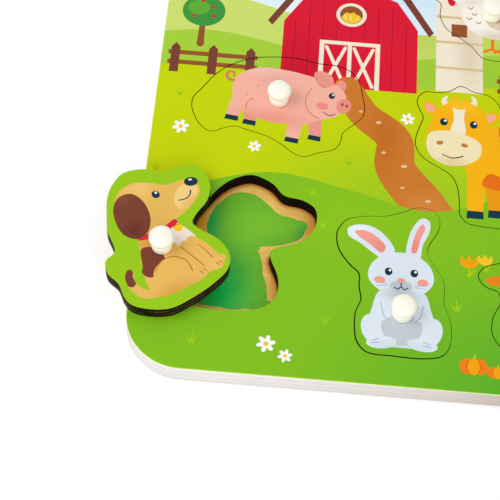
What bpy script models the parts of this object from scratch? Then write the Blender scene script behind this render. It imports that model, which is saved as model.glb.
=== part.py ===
"""Farmyard peg puzzle: a printed plywood board with cut-out recesses, a backing
sheet and eight animal pieces, each lifted by a turned wooden knob.

Row frame: metres, +X along the board's long side, +Y up the picture, +Z up.
The origin is the centre of the board's underside.
"""
import math

import bmesh
import bpy
from mathutils import Matrix

# Length that 1 stands for in the outlines below
OUTLINE_UNIT = 0.001

# Board
BOARD_LENGTH = 0.300
BOARD_WIDTH = 0.225
CORNER_RADIUS = 0.0225
BACKING_THICKNESS = 0.0032
SHEET_THICKNESS = 0.0060
EDGE_ROUND = 0.0006
GLUE_LINE = 0.0003

# Fit of a piece in its recess
SAW_CUT = 0.0003
REST_GAP = 0.0003

# Turned knob
HEAD_RADIUS = 0.0050
HEAD_RING_HEIGHT = 0.0062
HEAD_DOME_HEIGHT = 0.0024
HEAD_DOME_FULLNESS = 0.7
HEAD_UNDERCUT = 0.0019
NECK_RADIUS = 0.0032
COLLAR_RADIUS = 0.0041
COLLAR_HEIGHT = 0.0022
COLLAR_BLEND = 0.0007
COLLAR_ROUND = 0.0003
SEAT_GAP = 0.0003

# Tenon under the knob and its blind bore
TENON_RADIUS = 0.0025
TENON_CHAMFER = 0.0005
TENON_CLEARANCE = 0.0003
BORE_FLOOR = 0.0019
BORE_END_CLEARANCE = 0.0004

# The dog lies on the board, moved and turned from its recess
DOG_SHIFT_LEFT = 0.0257
DOG_SHIFT_DOWN = 0.0036
DOG_TURN = math.radians(40.8)

# Facets
SPAN_STEPS = 3
CORNER_STEPS = 9
KNOB_SIDES = 24
ARC_STEPS = 3
SHARP_EDGE = math.radians(35)

# Each animal: the share of the board's length and width at which its knob
# stands, its colour, and its outline in outline units round the knob's axis.
ANIMALS = {
    "dog": {
        "place": (0.1222, 0.2323),
        "colour": (0.80, 0.49, 0.11),
        "outline": [
            (6.9, 36.7), (14.9, 33.3), (19.9, 28.1), (27.7, 26.4), (32.4, 23.2),
            (33.4, 18.2), (31.6, 11.9), (26.4, 6.9), (19.9, 4.5), (16.0, 2.0),
            (16.4, -1.8), (19.0, -7.8), (20.1, -12.8), (19.0, -18.8), (14.9, -23.0),
            (6.9, -25.0), (-3.6, -25.5), (-12.6, -24.5), (-19.1, -20.5), (-24.0, -14.7),
            (-24.4, -10.3), (-23.0, -4.3), (-23.8, 1.7), (-21.4, 6.9), (-16.3, 8.3),
            (-14.7, 12.2), (-13.4, 17.7), (-10.1, 23.2), (-4.6, 30.9), (0.9, 35.0),
        ],
    },
    "rabbit": {
        "place": (0.3503, 0.1378),
        "colour": (0.62, 0.72, 0.80),
        "outline": [
            (-22.6, 40.6), (-25.9, 36.0), (-26.4, 32.0), (-25.1, 26.3), (-20.5, 19.9),
            (-17.1, 16.5), (-16.8, 10.5), (-15.9, 4.9), (-17.8, -1.0), (-17.8, -8.6),
            (-16.8, -13.4), (-13.1, -17.4), (-3.6, -18.2), (9.9, -18.2), (15.7, -16.4),
            (18.3, -12.0), (18.7, -4.0), (17.5, 1.3), (16.0, 5.5), (15.9, 14.7),
            (14.1, 19.2), (10.5, 25.0), (9.2, 29.0), (10.7, 33.4), (13.5, 38.8),
            (13.9, 44.0), (11.4, 47.9), (5.4, 48.8), (-1.1, 45.9), (-7.2, 43.7),
            (-16.6, 42.6),
        ],
    },
    "pig": {
        "place": (0.1713, 0.5689),
        "colour": (0.92, 0.45, 0.35),
        "outline": [
            (-32.4, 2.8), (-35.4, -2.0), (-35.6, -7.0), (-33.4, -12.5), (-30.4, -16.7),
            (-26.4, -18.5), (-21.9, -16.5), (-17.4, -15.0), (-11.4, -16.5), (-2.4, -19.3),
            (3.1, -22.6), (7.4, -25.9), (11.6, -27.5), (18.6, -24.8), (24.6, -22.4),
            (26.6, -18.5), (27.2, -14.4), (31.1, -10.0), (35.1, -5.5), (35.9, -0.5),
            (34.8, 5.5), (33.4, 12.1), (29.6, 17.7), (23.1, 20.3), (15.9, 20.7),
            (6.9, 22.5), (-4.1, 22.3), (-13.1, 20.5), (-21.1, 16.5), (-27.4, 10.5),
        ],
    },
    "cow": {
        "place": (0.500, 0.458),
        "colour": (0.93, 0.47, 0.01),
        "outline": [
            (-41.0, 9.5), (-40.1, 5.4), (-37.0, 1.2), (-30.4, -2.9), (-26.0, -6.2),
            (-23.6, -11.5), (-22.8, -18.8), (-22.6, -24.4), (-20.0, -28.0), (-15.4, -29.1),
            (-5.0, -29.7), (10.0, -29.8), (24.0, -29.6), (33.5, -28.7), (38.2, -24.6),
            (39.4, -17.0), (39.0, -7.0), (40.4, 3.0), (39.6, 14.0), (35.6, 22.5),
            (27.5, 27.2), (15.0, 28.2), (3.0, 27.4), (-5.4, 28.6), (-6.8, 32.2),
            (-10.8, 35.9), (-17.0, 37.3), (-22.2, 39.7), (-26.8, 36.8), (-32.0, 35.4),
            (-37.5, 35.2), (-40.5, 31.1), (-39.6, 26.4), (-37.9, 22.2), (-39.4, 17.0),
        ],
    },
    "duck": {
        "place": (0.543, 0.167),
        "colour": (0.95, 0.62, 0.05),
        "outline": [
            (-14.5, 23.0), (-20.0, 19.6), (-25.4, 17.4), (-28.2, 13.4), (-26.0, 9.0),
            (-20.6, 6.6), (-19.8, 1.6), (-22.6, -4.6), (-23.0, -12.0), (-18.6, -18.6),
            (-10.0, -22.4), (2.0, -23.4), (13.0, -21.0), (20.4, -15.0), (24.2, -6.6),
            (27.6, 2.0), (27.2, 8.6), (22.0, 10.8), (14.6, 8.2), (6.0, 7.4),
            (0.8, 10.4), (-0.6, 16.4), (-4.4, 21.6), (-9.4, 23.8),
        ],
    },
    "sheep": {
        "place": (0.797, 0.196),
        "colour": (0.85, 0.82, 0.74),
        "outline": [
            (-33.4, 17.0), (-37.0, 11.6), (-36.8, 5.0), (-31.8, 0.4), (-28.0, -5.0),
            (-27.2, -13.0), (-27.4, -22.0), (-24.2, -27.2), (-16.0, -28.4), (0.0, -28.6),
            (15.0, -28.4), (22.8, -27.0), (25.6, -21.6), (26.2, -13.0), (29.4, -5.0),
            (32.4, 3.0), (31.6, 12.0), (26.0, 19.6), (16.0, 24.0), (4.0, 25.4),
            (-8.0, 24.6), (-16.0, 25.0), (-25.0, 24.0),
        ],
    },
    "horse": {
        "place": (0.817, 0.587),
        "colour": (0.52, 0.22, 0.07),
        "outline": [
            (-25.6, 36.4), (-31.4, 31.4), (-36.0, 24.4), (-38.4, 18.0), (-35.2, 13.2),
            (-28.4, 12.8), (-22.6, 10.0), (-20.4, 3.0), (-22.0, -6.0), (-22.6, -18.0),
            (-22.4, -30.0), (-19.0, -35.8), (-10.0, -37.0), (4.0, -37.2), (18.0, -37.0),
            (27.0, -35.4), (30.0, -29.0), (31.4, -17.0), (35.2, -6.0), (36.0, 5.0),
            (32.6, 13.4), (25.0, 17.6), (13.0, 18.0), (2.0, 18.6), (-4.4, 23.0),
            (-8.6, 31.0), (-12.6, 38.2), (-18.8, 39.6),
        ],
    },
    "hen": {
        "place": (0.470, 0.813),
        "colour": (0.80, 0.12, 0.05),
        "outline": [
            (-18.0, 23.6), (-23.2, 19.0), (-27.0, 13.4), (-25.8, 8.4), (-22.0, 4.6),
            (-22.2, -2.6), (-19.0, -9.6), (-12.6, -14.4), (-8.0, -18.6), (-4.0, -23.6),
            (5.0, -24.6), (11.4, -22.0), (14.0, -15.6), (20.4, -10.4), (24.8, -2.4),
            (27.6, 7.0), (27.0, 15.0), (22.0, 18.4), (14.6, 15.4), (7.0, 11.4),
            (0.6, 12.8), (-3.0, 18.6), (-6.6, 24.0), (-12.4, 26.0),
        ],
    },
}

BACKING_COLOUR = (0.72, 0.60, 0.42)
BOARD_COLOUR = (0.30, 0.58, 0.03)
KNOB_COLOUR = (0.93, 0.90, 0.76)


def clear_scene():
    for item in list(bpy.data.objects):
        bpy.data.objects.remove(item, do_unlink=True)


def finish_material(name, colour, roughness):
    material = bpy.data.materials.new(name)
    material.use_nodes = True
    shader = material.node_tree.nodes["Principled BSDF"]
    shader.inputs["Base Color"].default_value = (*colour, 1.0)
    shader.inputs["Roughness"].default_value = roughness
    shader.inputs["Metallic"].default_value = 0.0
    return material


def curve_point(p0, p1, p2, p3, share):
    """Point on the centripetal Catmull-Rom span from p1 to p2."""
    def knot(start, a, b):
        return start + math.sqrt(math.dist(a, b))

    def blend(a, b, ta, tb, t):
        weight = (t - ta) / (tb - ta)
        return (a[0] + (b[0] - a[0]) * weight, a[1] + (b[1] - a[1]) * weight)

    t0 = 0.0
    t1 = knot(t0, p0, p1)
    t2 = knot(t1, p1, p2)
    t3 = knot(t2, p2, p3)
    t = t1 + (t2 - t1) * share
    a1 = blend(p0, p1, t0, t1, t)
    a2 = blend(p1, p2, t1, t2, t)
    a3 = blend(p2, p3, t2, t3, t)
    b1 = blend(a1, a2, t0, t2, t)
    b2 = blend(a2, a3, t1, t3, t)
    return blend(b1, b2, t1, t2, t)


def smooth_loop(points):
    """Closed smooth curve through the outline points, anticlockwise."""
    count = len(points)
    loop = []
    for i in range(count):
        span = [points[(i + step) % count] for step in (-1, 0, 1, 2)]
        for step in range(SPAN_STEPS):
            loop.append(curve_point(*span, step / SPAN_STEPS))
    area = sum(a[0] * b[1] - b[0] * a[1] for a, b in zip(loop, loop[1:] + loop[:1]))
    return loop if area > 0 else loop[::-1]


def animal_loop(animal):
    """The piece's outline in metres round its knob's axis."""
    points = [(x * OUTLINE_UNIT, y * OUTLINE_UNIT) for x, y in ANIMALS[animal]["outline"]]
    return smooth_loop(points)


def place_of(animal):
    """Knob axis of the animal's recess."""
    along, up = ANIMALS[animal]["place"]
    return ((along - 0.5) * BOARD_LENGTH, (up - 0.5) * BOARD_WIDTH)


def offset_loop(loop, distance):
    """Anticlockwise loop moved outwards by the distance, square to itself."""
    moved = []
    for before, here, after in zip(loop[-1:] + loop[:-1], loop, loop[1:] + loop[:1]):
        run = (after[0] - before[0], after[1] - before[1])
        length = math.hypot(*run)
        moved.append((here[0] + run[1] / length * distance, here[1] - run[0] / length * distance))
    return moved


def shift_loop(loop, shift):
    return [(x + shift[0], y + shift[1]) for x, y in loop]


def board_height():
    """Height of the printed face above the underside."""
    return BACKING_THICKNESS + GLUE_LINE + SHEET_THICKNESS


def board_loop():
    """Rounded rectangle, anticlockwise."""
    loop = []
    reach_x = BOARD_LENGTH / 2 - CORNER_RADIUS
    reach_y = BOARD_WIDTH / 2 - CORNER_RADIUS
    for corner, (sign_x, sign_y) in enumerate([(1, 1), (-1, 1), (-1, -1), (1, -1)]):
        for step in range(CORNER_STEPS + 1):
            angle = math.pi / 2 * (corner + step / CORNER_STEPS)
            loop.append((sign_x * reach_x + CORNER_RADIUS * math.cos(angle),
                         sign_y * reach_y + CORNER_RADIUS * math.sin(angle)))
    return loop


def circle_loop(radius, sides):
    turn = 2 * math.pi / sides
    return [(radius * math.cos(turn * i), radius * math.sin(turn * i)) for i in range(sides)]


def add_ring(bm, loop, height):
    return [bm.verts.new((x, y, height)) for x, y in loop]


def join_rings(bm, first, second):
    for i in range(len(first)):
        j = (i + 1) % len(first)
        bm.faces.new((first[i], first[j], second[j], second[i]))


def ring_edges(bm, ring):
    return [bm.edges.get((a, b)) or bm.edges.new((a, b)) for a, b in zip(ring, ring[1:] + ring[:1])]


def fill_rings(bm, rings):
    """Flat face between an outer ring and the rings inside it."""
    edges = [edge for ring in rings for edge in ring_edges(bm, ring)]
    bmesh.ops.triangle_fill(bm, use_beauty=True, use_dissolve=False, edges=edges)


def add_wall(bm, sections):
    """Wall through the (loop, height) sections; returns its first and last rings."""
    rings = [add_ring(bm, loop, height) for loop, height in sections]
    for first, second in zip(rings, rings[1:]):
        join_rings(bm, first, second)
    return rings[0], rings[-1]


def finish_mesh(bm, name, material):
    bmesh.ops.recalc_face_normals(bm, faces=bm.faces[:])
    mesh = bpy.data.meshes.new(name)
    bm.to_mesh(mesh)
    bm.free()
    mesh.shade_smooth()
    mesh.set_sharp_from_angle(angle=SHARP_EDGE)
    mesh.materials.append(material)
    item = bpy.data.objects.new(name, mesh)
    bpy.context.scene.collection.objects.link(item)
    return item


def make_backing():
    """Thin sheet under the whole board, rounded at its lower edge."""
    bm = bmesh.new()
    outer = board_loop()
    inner = offset_loop(outer, -EDGE_ROUND)
    bottom, top = add_wall(bm, [(inner, 0.0), (outer, EDGE_ROUND), (outer, BACKING_THICKNESS)])
    fill_rings(bm, [bottom])
    fill_rings(bm, [top])
    return finish_mesh(bm, "backing_board", finish_material("backing", BACKING_COLOUR, 0.6))


def make_top_panel():
    """Printed sheet with a cut-out for each animal, rounded at its upper edge."""
    bm = bmesh.new()
    outer = board_loop()
    inner = offset_loop(outer, -EDGE_ROUND)
    low = BACKING_THICKNESS + GLUE_LINE
    high = board_height()
    bottom, top = add_wall(bm, [(outer, low), (outer, high - EDGE_ROUND), (inner, high)])
    bottoms = [bottom]
    tops = [top]
    for animal in ANIMALS:
        cut = shift_loop(offset_loop(animal_loop(animal), SAW_CUT), place_of(animal))
        cut_bottom, cut_top = add_wall(bm, [(cut, low), (cut, high)])
        bottoms.append(cut_bottom)
        tops.append(cut_top)
    fill_rings(bm, bottoms)
    fill_rings(bm, tops)
    return finish_mesh(bm, "top_panel", finish_material("board_print", BOARD_COLOUR, 0.45))


def make_piece(animal):
    """Animal cut from the same sheet, bored for its knob's tenon from above.

    The mesh stands on z = 0 round the knob's axis.
    """
    bm = bmesh.new()
    loop = animal_loop(animal)
    bore = circle_loop(TENON_RADIUS + TENON_CLEARANCE, KNOB_SIDES)
    bottom, top = add_wall(bm, [(loop, 0.0), (loop, SHEET_THICKNESS)])
    end, mouth = add_wall(bm, [(bore, BORE_FLOOR), (bore, SHEET_THICKNESS)])
    fill_rings(bm, [bottom])
    fill_rings(bm, [end])
    fill_rings(bm, [top, mouth])
    colour = ANIMALS[animal]["colour"]
    return finish_mesh(bm, animal + "_piece", finish_material(animal + "_print", colour, 0.45))


def knob_profile():
    """(radius, height) points up the knob from the tenon's end, seat at height 0."""
    tenon_length = SHEET_THICKNESS + SEAT_GAP - BORE_FLOOR - BORE_END_CLEARANCE
    points = [(TENON_RADIUS - TENON_CHAMFER, -tenon_length),
              (TENON_RADIUS, TENON_CHAMFER - tenon_length),
              (TENON_RADIUS, 0.0),
              (COLLAR_RADIUS - COLLAR_ROUND, 0.0),
              (COLLAR_RADIUS, COLLAR_ROUND),
              (COLLAR_RADIUS, COLLAR_HEIGHT)]
    for step in range(1, ARC_STEPS + 1):
        angle = math.pi / 2 * step / ARC_STEPS
        points.append((NECK_RADIUS + (COLLAR_RADIUS - NECK_RADIUS) * (1 - math.sin(angle)),
                       COLLAR_HEIGHT + COLLAR_BLEND * (1 - math.cos(angle))))
    under = HEAD_RING_HEIGHT - HEAD_UNDERCUT
    for step in range(ARC_STEPS + 1):
        angle = math.pi / 2 * step / ARC_STEPS
        points.append((NECK_RADIUS + (HEAD_RADIUS - NECK_RADIUS) * math.sin(angle),
                       under + HEAD_UNDERCUT * (1 - math.cos(angle))))
    dome_steps = 2 * ARC_STEPS
    for step in range(1, dome_steps):
        angle = math.pi / 2 * step / dome_steps
        points.append((HEAD_RADIUS * math.cos(angle) ** HEAD_DOME_FULLNESS,
                       HEAD_RING_HEIGHT + HEAD_DOME_HEIGHT * math.sin(angle)))
    return points


def make_knob(animal):
    """Mushroom knob turned in one piece with its tenon."""
    bm = bmesh.new()
    profile = knob_profile()
    sections = [(circle_loop(radius, KNOB_SIDES), height) for radius, height in profile]
    end, crown = add_wall(bm, sections)
    fill_rings(bm, [end])
    peak = bm.verts.new((0.0, 0.0, HEAD_RING_HEIGHT + HEAD_DOME_HEIGHT))
    for a, b in zip(crown, crown[1:] + crown[:1]):
        bm.faces.new((a, b, peak))
    return finish_mesh(bm, animal + "_knob", finish_material(animal + "_knob", KNOB_COLOUR, 0.4))


def make_animal(animal):
    """Piece and knob on an empty that stands on the knob's axis at the piece's underside."""
    x, y = place_of(animal)
    height = BACKING_THICKNESS + REST_GAP
    turn = 0.0
    if animal == "dog":
        x -= DOG_SHIFT_LEFT
        y -= DOG_SHIFT_DOWN
        height = board_height() + REST_GAP
        turn = DOG_TURN
    holder = bpy.data.objects.new(animal + "_lift", None)
    bpy.context.scene.collection.objects.link(holder)
    holder.matrix_world = Matrix.Translation((x, y, height)) @ Matrix.Rotation(turn, 4, "Z")
    piece = make_piece(animal)
    knob = make_knob(animal)
    knob.location = (0.0, 0.0, SHEET_THICKNESS + SEAT_GAP)
    for item in (piece, knob):
        item.parent = holder


def main():
    clear_scene()
    make_backing()
    make_top_panel()
    for animal in ANIMALS:
        make_animal(animal)
    bpy.context.view_layer.update()


main()
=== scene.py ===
import math

import bmesh
import bpy
import numpy as np
from mathutils import Matrix, Vector, geometry


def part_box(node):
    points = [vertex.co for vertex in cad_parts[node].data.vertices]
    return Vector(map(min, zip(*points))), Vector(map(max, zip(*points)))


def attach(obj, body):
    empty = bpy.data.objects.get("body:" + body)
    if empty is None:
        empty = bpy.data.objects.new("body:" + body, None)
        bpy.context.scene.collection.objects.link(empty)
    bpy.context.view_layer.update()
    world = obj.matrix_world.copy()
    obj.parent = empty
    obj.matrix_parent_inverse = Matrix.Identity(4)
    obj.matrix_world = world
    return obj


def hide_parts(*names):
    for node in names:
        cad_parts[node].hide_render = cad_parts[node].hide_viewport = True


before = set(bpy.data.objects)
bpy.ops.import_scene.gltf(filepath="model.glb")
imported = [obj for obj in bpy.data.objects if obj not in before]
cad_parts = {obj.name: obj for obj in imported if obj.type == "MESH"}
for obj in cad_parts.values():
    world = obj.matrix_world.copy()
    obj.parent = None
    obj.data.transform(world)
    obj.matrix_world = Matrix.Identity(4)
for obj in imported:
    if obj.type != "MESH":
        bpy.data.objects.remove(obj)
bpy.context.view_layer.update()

MM = 0.001

# The photographed view: place in metres, turn in degrees, lens and sensor in millimetres,
# and how near the camera starts to see, in metres
CAMERA_PLACE = (-0.1000, -0.3500, 0.4948)
CAMERA_TURN = (30.931, -1.994, 4.316)
CAMERA_LENS = 104.117
SENSOR_WIDTH = 36.0
NEAREST_SEEN = 0.01

# Sheets, in metres above the board's underside
BACKING_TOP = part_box("backing_board")[1][2]
PANEL_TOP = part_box("top_panel")[1][2]
BOARD_ROUND = 0.0006
CUT_ROUND = 0.00010
PANEL_SEAM = 0.00002
CORNER_RADIUS = 0.0225
CORNER_STEPS = 24

# The dog lies moved and turned from its recess, as in part.py
DOG_SHIFT = (-0.0257, -0.0036)
DOG_TURN = math.radians(40.8)

# How far a loose piece has slid to the right and up the board within its saw cut, in metres
LEAN = {"rabbit": (0.00014, 0.00017), "pig": (0.00002, -0.00006), "cow": (0.00003, -0.00002)}

# Knob, as in part.py
HEAD_RADIUS = 0.0050
HEAD_RING_HEIGHT = 0.0062
HEAD_DOME_HEIGHT = 0.0024
HEAD_DOME_FULLNESS = 0.7
HEAD_UNDERCUT = 0.0019
NECK_RADIUS = 0.0032
COLLAR_RADIUS = 0.0041
COLLAR_HEIGHT = 0.0022
COLLAR_BLEND = 0.0007
COLLAR_ROUND = 0.0003
TENON_RADIUS = 0.0025
TENON_CHAMFER = 0.0005
TENON_END = 0.0040
TENON_CLEARANCE = 0.0003
BORE_DEPTH = 0.0041

# How finely curves and turned shapes are divided
LOOP_DETAIL = 3
CURVE_STEPS = 6
OVAL_SIDES = 36
CAP_ANGLES = (60.0, 30.0, 0.0, -30.0, -60.0)
ARC_STEPS = 3
KNOB_SIDES = 72
BORE_SIDES = 40
ROUND_STEPS = 3
BLEND_STEPS = 7
DOME_STEPS = 12

# Bends over this angle stay sharp; a face whose normal is this near to upright is level
SHARP_EDGE = math.radians(40)
LEVEL = 0.9999

# Tolerances: the same height in metres, the decimals that tell corners apart in metres,
# and the same printed point in millimetres
SAME_HEIGHT = 1e-5
CORNER_DECIMALS = 6
MERGE = 1e-3
TINY = 1e-12

# Stage: half size in metres, white level, and the glow that keeps the lit floor white
WHITE = (1.0, 1.0, 1.0, 1.0)
FLOOR_HALF = 3.0
FLOOR_WHITE = 0.8
FLOOR_LIFT = 0.27

# Level of the light from all round, and the soft lamps: name, place, size and watts
SKY_LEVEL = 0.66
SOFTBOXES = (("key", (-0.90, -0.20, 1.05), 0.8, 6.0), ("front_fill", (0.10, -1.40, 0.55), 1.0, 6.0))

# How far from the board's centre the farmyard's picture is drawn, in millimetres
BEYOND = 130.0
BEYOND_SIDES = 169.0


# Curves in the picture's plane, in millimetres

def curve_point(p0, p1, p2, p3, share):
    """Point on the centripetal Catmull-Rom span from p1 to p2."""
    points = (p0, p1, p2, p3)
    knots = [0.0]
    for a, b in zip(points, points[1:]):
        knots.append(knots[-1] + max(math.sqrt(math.dist(a, b)), TINY))
    t = knots[1] + (knots[2] - knots[1]) * share
    level = [np.array(p, float) for p in points]
    for span in (1, 2):
        level = [level[i] + (level[i + 1] - level[i]) * (t - knots[i]) / (knots[i + span] - knots[i])
                 for i in range(len(level) - 1)]
    low, high = level
    return low + (high - low) * (t - knots[1]) / (knots[2] - knots[1])


def closed_curve(points, steps=CURVE_STEPS):
    count = len(points)
    loop = []
    for i in range(count):
        span = [points[(i + step) % count] for step in (-1, 0, 1, 2)]
        loop += [curve_point(*span, step / steps) for step in range(steps)]
    return np.array(loop)


def open_curve(points, steps=CURVE_STEPS):
    padded = [points[0], *points, points[-1]]
    line = []
    for i in range(len(points) - 1):
        line += [curve_point(*padded[i:i + 4], step / steps) for step in range(steps)]
    return np.array([*line, np.array(points[-1], float)])


def oval(x, y, half_width, half_height, turn=0.0, sides=OVAL_SIDES):
    """Ellipse turned anticlockwise by the given degrees."""
    angles = np.linspace(0.0, 2 * math.pi, sides, endpoint=False)
    return moved(np.stack([half_width * np.cos(angles), half_height * np.sin(angles)], 1), x, y, turn)


def stroke(points, width, end_width=None, steps=CURVE_STEPS):
    """Brush stroke along an open curve, with round ends."""
    line = open_curve(points, steps)
    end_width = width if end_width is None else end_width
    run = np.gradient(line, axis=0)
    run /= np.maximum(np.linalg.norm(run, axis=1), TINY)[:, None]
    side = np.stack([-run[:, 1], run[:, 0]], 1)
    half = np.linspace(width, end_width, len(line))[:, None] / 2
    cap = np.radians(np.array(CAP_ANGLES))[:, None]
    tail = line[-1] + half[-1] * (np.cos(cap) * run[-1] + np.sin(cap) * side[-1])
    nose = line[0] - half[0] * (np.cos(cap) * run[0] + np.sin(cap) * side[0])
    return np.concatenate([line + side * half, tail, (line - side * half)[::-1], nose])


def moved(loop, x=0.0, y=0.0, turn=0.0, scale=1.0):
    """Loop scaled, turned anticlockwise by the given degrees and then shifted."""
    c, s = math.cos(math.radians(turn)), math.sin(math.radians(turn))
    u, v = (np.asarray(loop, float) * scale).T
    return np.stack([x + u * c - v * s, y + u * s + v * c], 1)


def moved_all(shapes, **how):
    return [(ink, moved(loop, **how)) for ink, loop in shapes]


def inside(points, loop):
    """Which of the points lie inside the loop."""
    held = np.zeros(len(points), bool)
    near = np.all((points >= loop.min(0)) & (points <= loop.max(0)), axis=1)
    x, y = points[near, 0][:, None], points[near, 1][:, None]
    ax, ay = loop[:, 0][None], loop[:, 1][None]
    bx, by = np.roll(ax, -1), np.roll(ay, -1)
    crosses = (ay > y) != (by > y)
    rise = np.where(by == ay, 1.0, by - ay)
    left_of = x < (bx - ax) * (y - ay) / rise + ax
    held[near] = (np.sum(crosses & left_of, axis=1) % 2).astype(bool)
    return held


def anticlockwise(loop):
    after = np.roll(loop, -1, 0)
    area = np.sum(loop[:, 0] * after[:, 1] - after[:, 0] * loop[:, 1])
    return loop if area > 0 else loop[::-1]


def loop_length(loop):
    return float(np.sum(np.linalg.norm(loop - np.roll(loop, 1, 0), axis=1)))


def offset_loop(loop, distance):
    """Anticlockwise loop moved outwards, square to itself."""
    run = np.roll(loop, -1, 0) - np.roll(loop, 1, 0)
    run /= np.maximum(np.linalg.norm(run, axis=1), TINY)[:, None]
    return loop + np.stack([run[:, 1], -run[:, 0]], 1) * distance


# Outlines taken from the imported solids

def sides_of(ring):
    """Each corner of a closed ring with the next."""
    return list(zip(ring, ring[1:] + ring[:1]))


def rings_of(onward):
    """Closed rings through a dictionary that gives each corner's next."""
    rings = []
    while onward:
        start, here = onward.popitem()
        ring = [start]
        while here != start:
            ring.append(here)
            here = onward.pop(here)
        rings.append(ring)
    return rings


def level_loops(node, height):
    """Closed outlines of a solid's flat face at the height, in metres, longest first."""
    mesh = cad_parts[node].data
    corners, sides = {}, {}
    for face in mesh.polygons:
        places = [mesh.vertices[i].co for i in face.vertices]
        if all(abs(place.z - height) <= SAME_HEIGHT for place in places):
            flat = [tuple(round(v, CORNER_DECIMALS) for v in place.xy) for place in places]
            sides.update(dict.fromkeys(sides_of([corners.setdefault(key, len(corners)) for key in flat])))
    places = list(corners)
    loops = [np.array([places[i] for i in ring])
             for ring in rings_of({a: b for a, b in sides if (b, a) not in sides})]
    return sorted((anticlockwise(loop) for loop in loops), key=loop_length, reverse=True)


def middle_of(node):
    low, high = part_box(node)
    return (low[0] + high[0]) / 2, (low[1] + high[1]) / 2


def knob_axis(animal):
    """Knob's axis over the animal's own recess, in metres."""
    x, y = middle_of(animal + "_knob")
    if animal == "dog":
        return x - DOG_SHIFT[0], y - DOG_SHIFT[1]
    return x, y


def recess_placement(animal):
    """Matrix from the picture, where every piece is in its recess, to the piece at rest."""
    if animal != "dog":
        return Matrix.Identity(4)
    x, y = knob_axis(animal)
    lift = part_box("dog_piece")[0][2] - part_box("pig_piece")[0][2]
    there = Matrix.Translation((x + DOG_SHIFT[0], y + DOG_SHIFT[1], lift))
    return there @ Matrix.Rotation(DOG_TURN, 4, "Z") @ Matrix.Translation((-x, -y, 0.0))


def piece_loop(animal):
    """The piece's outline in its recess, in metres, smoothed within the solid's box."""
    low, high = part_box(animal + "_piece")
    loop = closed_curve(level_loops(animal + "_piece", low[2])[0], LOOP_DETAIL)
    loop = np.clip(loop, low[:2], high[:2])
    back = recess_placement(animal).inverted()
    return np.array([tuple(back @ Vector((x, y, 0.0)))[:2] for x, y in loop])


# Meshes

def triangulate(loops):
    """Constrained triangles over the loops; places and corner indices as arrays."""
    places, sides = [], []
    for loop in loops:
        sides += sides_of(list(range(len(places), len(places) + len(loop))))
        places += [Vector((float(x), float(y))) for x, y in loop]
    result = geometry.delaunay_2d_cdt(places, sides, [], 0, MERGE, False)
    return np.array([tuple(p) for p in result[0]]), np.array([tuple(f) for f in result[2]])


def near_shapes(shapes, outline):
    """The printed shapes, in millimetres, whose box meets the outline's, in metres."""
    low, high = outline.min(0) / MM, outline.max(0) / MM
    return [(ink, loop) for ink, loop in shapes
            if np.all(loop.max(0) > low) and np.all(loop.min(0) < high)]


def print_face(bm, outline, holes, shapes, height, slots):
    """Flat face divided into its printed shapes, the later over the earlier.

    The outline and holes are in metres and the shapes in millimetres. Returns the
    rings of vertices along the outline and the holes.
    """
    rims = [outline / MM] + [hole / MM for hole in holes]
    places, faces = triangulate(rims + [loop for _, loop in shapes])
    middles = places[faces].mean(1)
    kept = inside(middles, rims[0])
    for rim in rims[1:]:
        kept &= ~inside(middles, rim)
    faces, middles = faces[kept], middles[kept]
    inks = np.zeros(len(faces), int)
    for ink, loop in shapes:
        inks[inside(middles, loop)] = slots[ink]
    used = {}
    for face, ink in zip(faces, inks):
        for index in face:
            if index not in used:
                used[index] = bm.verts.new((*(places[index] * MM), height))
        made = bm.faces.new([used[index] for index in face])
        made.normal_update()
        if made.normal.z < 0:
            made.normal_flip()
        made.material_index = int(ink)
    return boundary_rings(used.values())


def boundary_rings(corners):
    """Rings of vertices round the open edges among the corners, longest first."""
    onward = {loop.vert: loop.link_loop_next.vert for corner in corners for loop in corner.link_loops
              if len(loop.edge.link_faces) == 1}
    return sorted(rings_of(onward), key=lambda ring: loop_length(ring_places(ring)), reverse=True)


def ring_places(ring):
    return np.array([(corner.co.x, corner.co.y) for corner in ring])


def skin(bm, ring, fresh):
    """Faces between two rings of as many vertices."""
    return [bm.faces.new((a, b, d, c)) for (a, b), (c, d) in zip(sides_of(ring), sides_of(fresh))]


def extend_wall(bm, ring, sections):
    """Wall from a ring through the (distance outwards, height, slot) sections.

    A section without a slot carries on the ink of the face before it.
    """
    base = ring_places(ring)
    around = anticlockwise(base)
    onward = 1 if around is base else -1
    before = [bm.edges.get(pair).link_faces[0] for pair in sides_of(ring)]
    for distance, height, slot in sections:
        fresh = [bm.verts.new((x, y, height)) for x, y in offset_loop(around, distance)[::onward]]
        made = skin(bm, ring, fresh)
        for face, last in zip(made, before):
            face.material_index = last.material_index if slot is None else slot
        ring, before = fresh, made
    return ring


def fill_rings(bm, rings, slot):
    """Level face inside the first ring and outside the others."""
    edges = [bm.edges.get(pair) for ring in rings for pair in sides_of(ring)]
    made = bmesh.ops.triangle_fill(bm, use_beauty=True, use_dissolve=False, edges=edges)
    for item in made["geom"]:
        if isinstance(item, bmesh.types.BMFace):
            item.material_index = slot


def mark_sharp(bm):
    """Smooth faces, with a sharp edge wherever a flat face ends or the bend is strong."""
    for face in bm.faces:
        face.smooth = True
    for edge in bm.edges:
        level = [abs(face.normal.z) > LEVEL for face in edge.link_faces]
        edge.smooth = (len(level) == 2 and level[0] == level[1]
                       and edge.calc_face_angle(0.0) < SHARP_EDGE)


def put_in_scene(name, data):
    item = bpy.data.objects.new(name, data)
    bpy.context.scene.collection.objects.link(item)
    return item


def mesh_object(bm, name, materials):
    """The finished mesh as an object in the scene."""
    mesh = bpy.data.meshes.new(name)
    bm.to_mesh(mesh)
    bm.free()
    for material in materials:
        mesh.materials.append(material)
    return put_in_scene(name, mesh)


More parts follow.
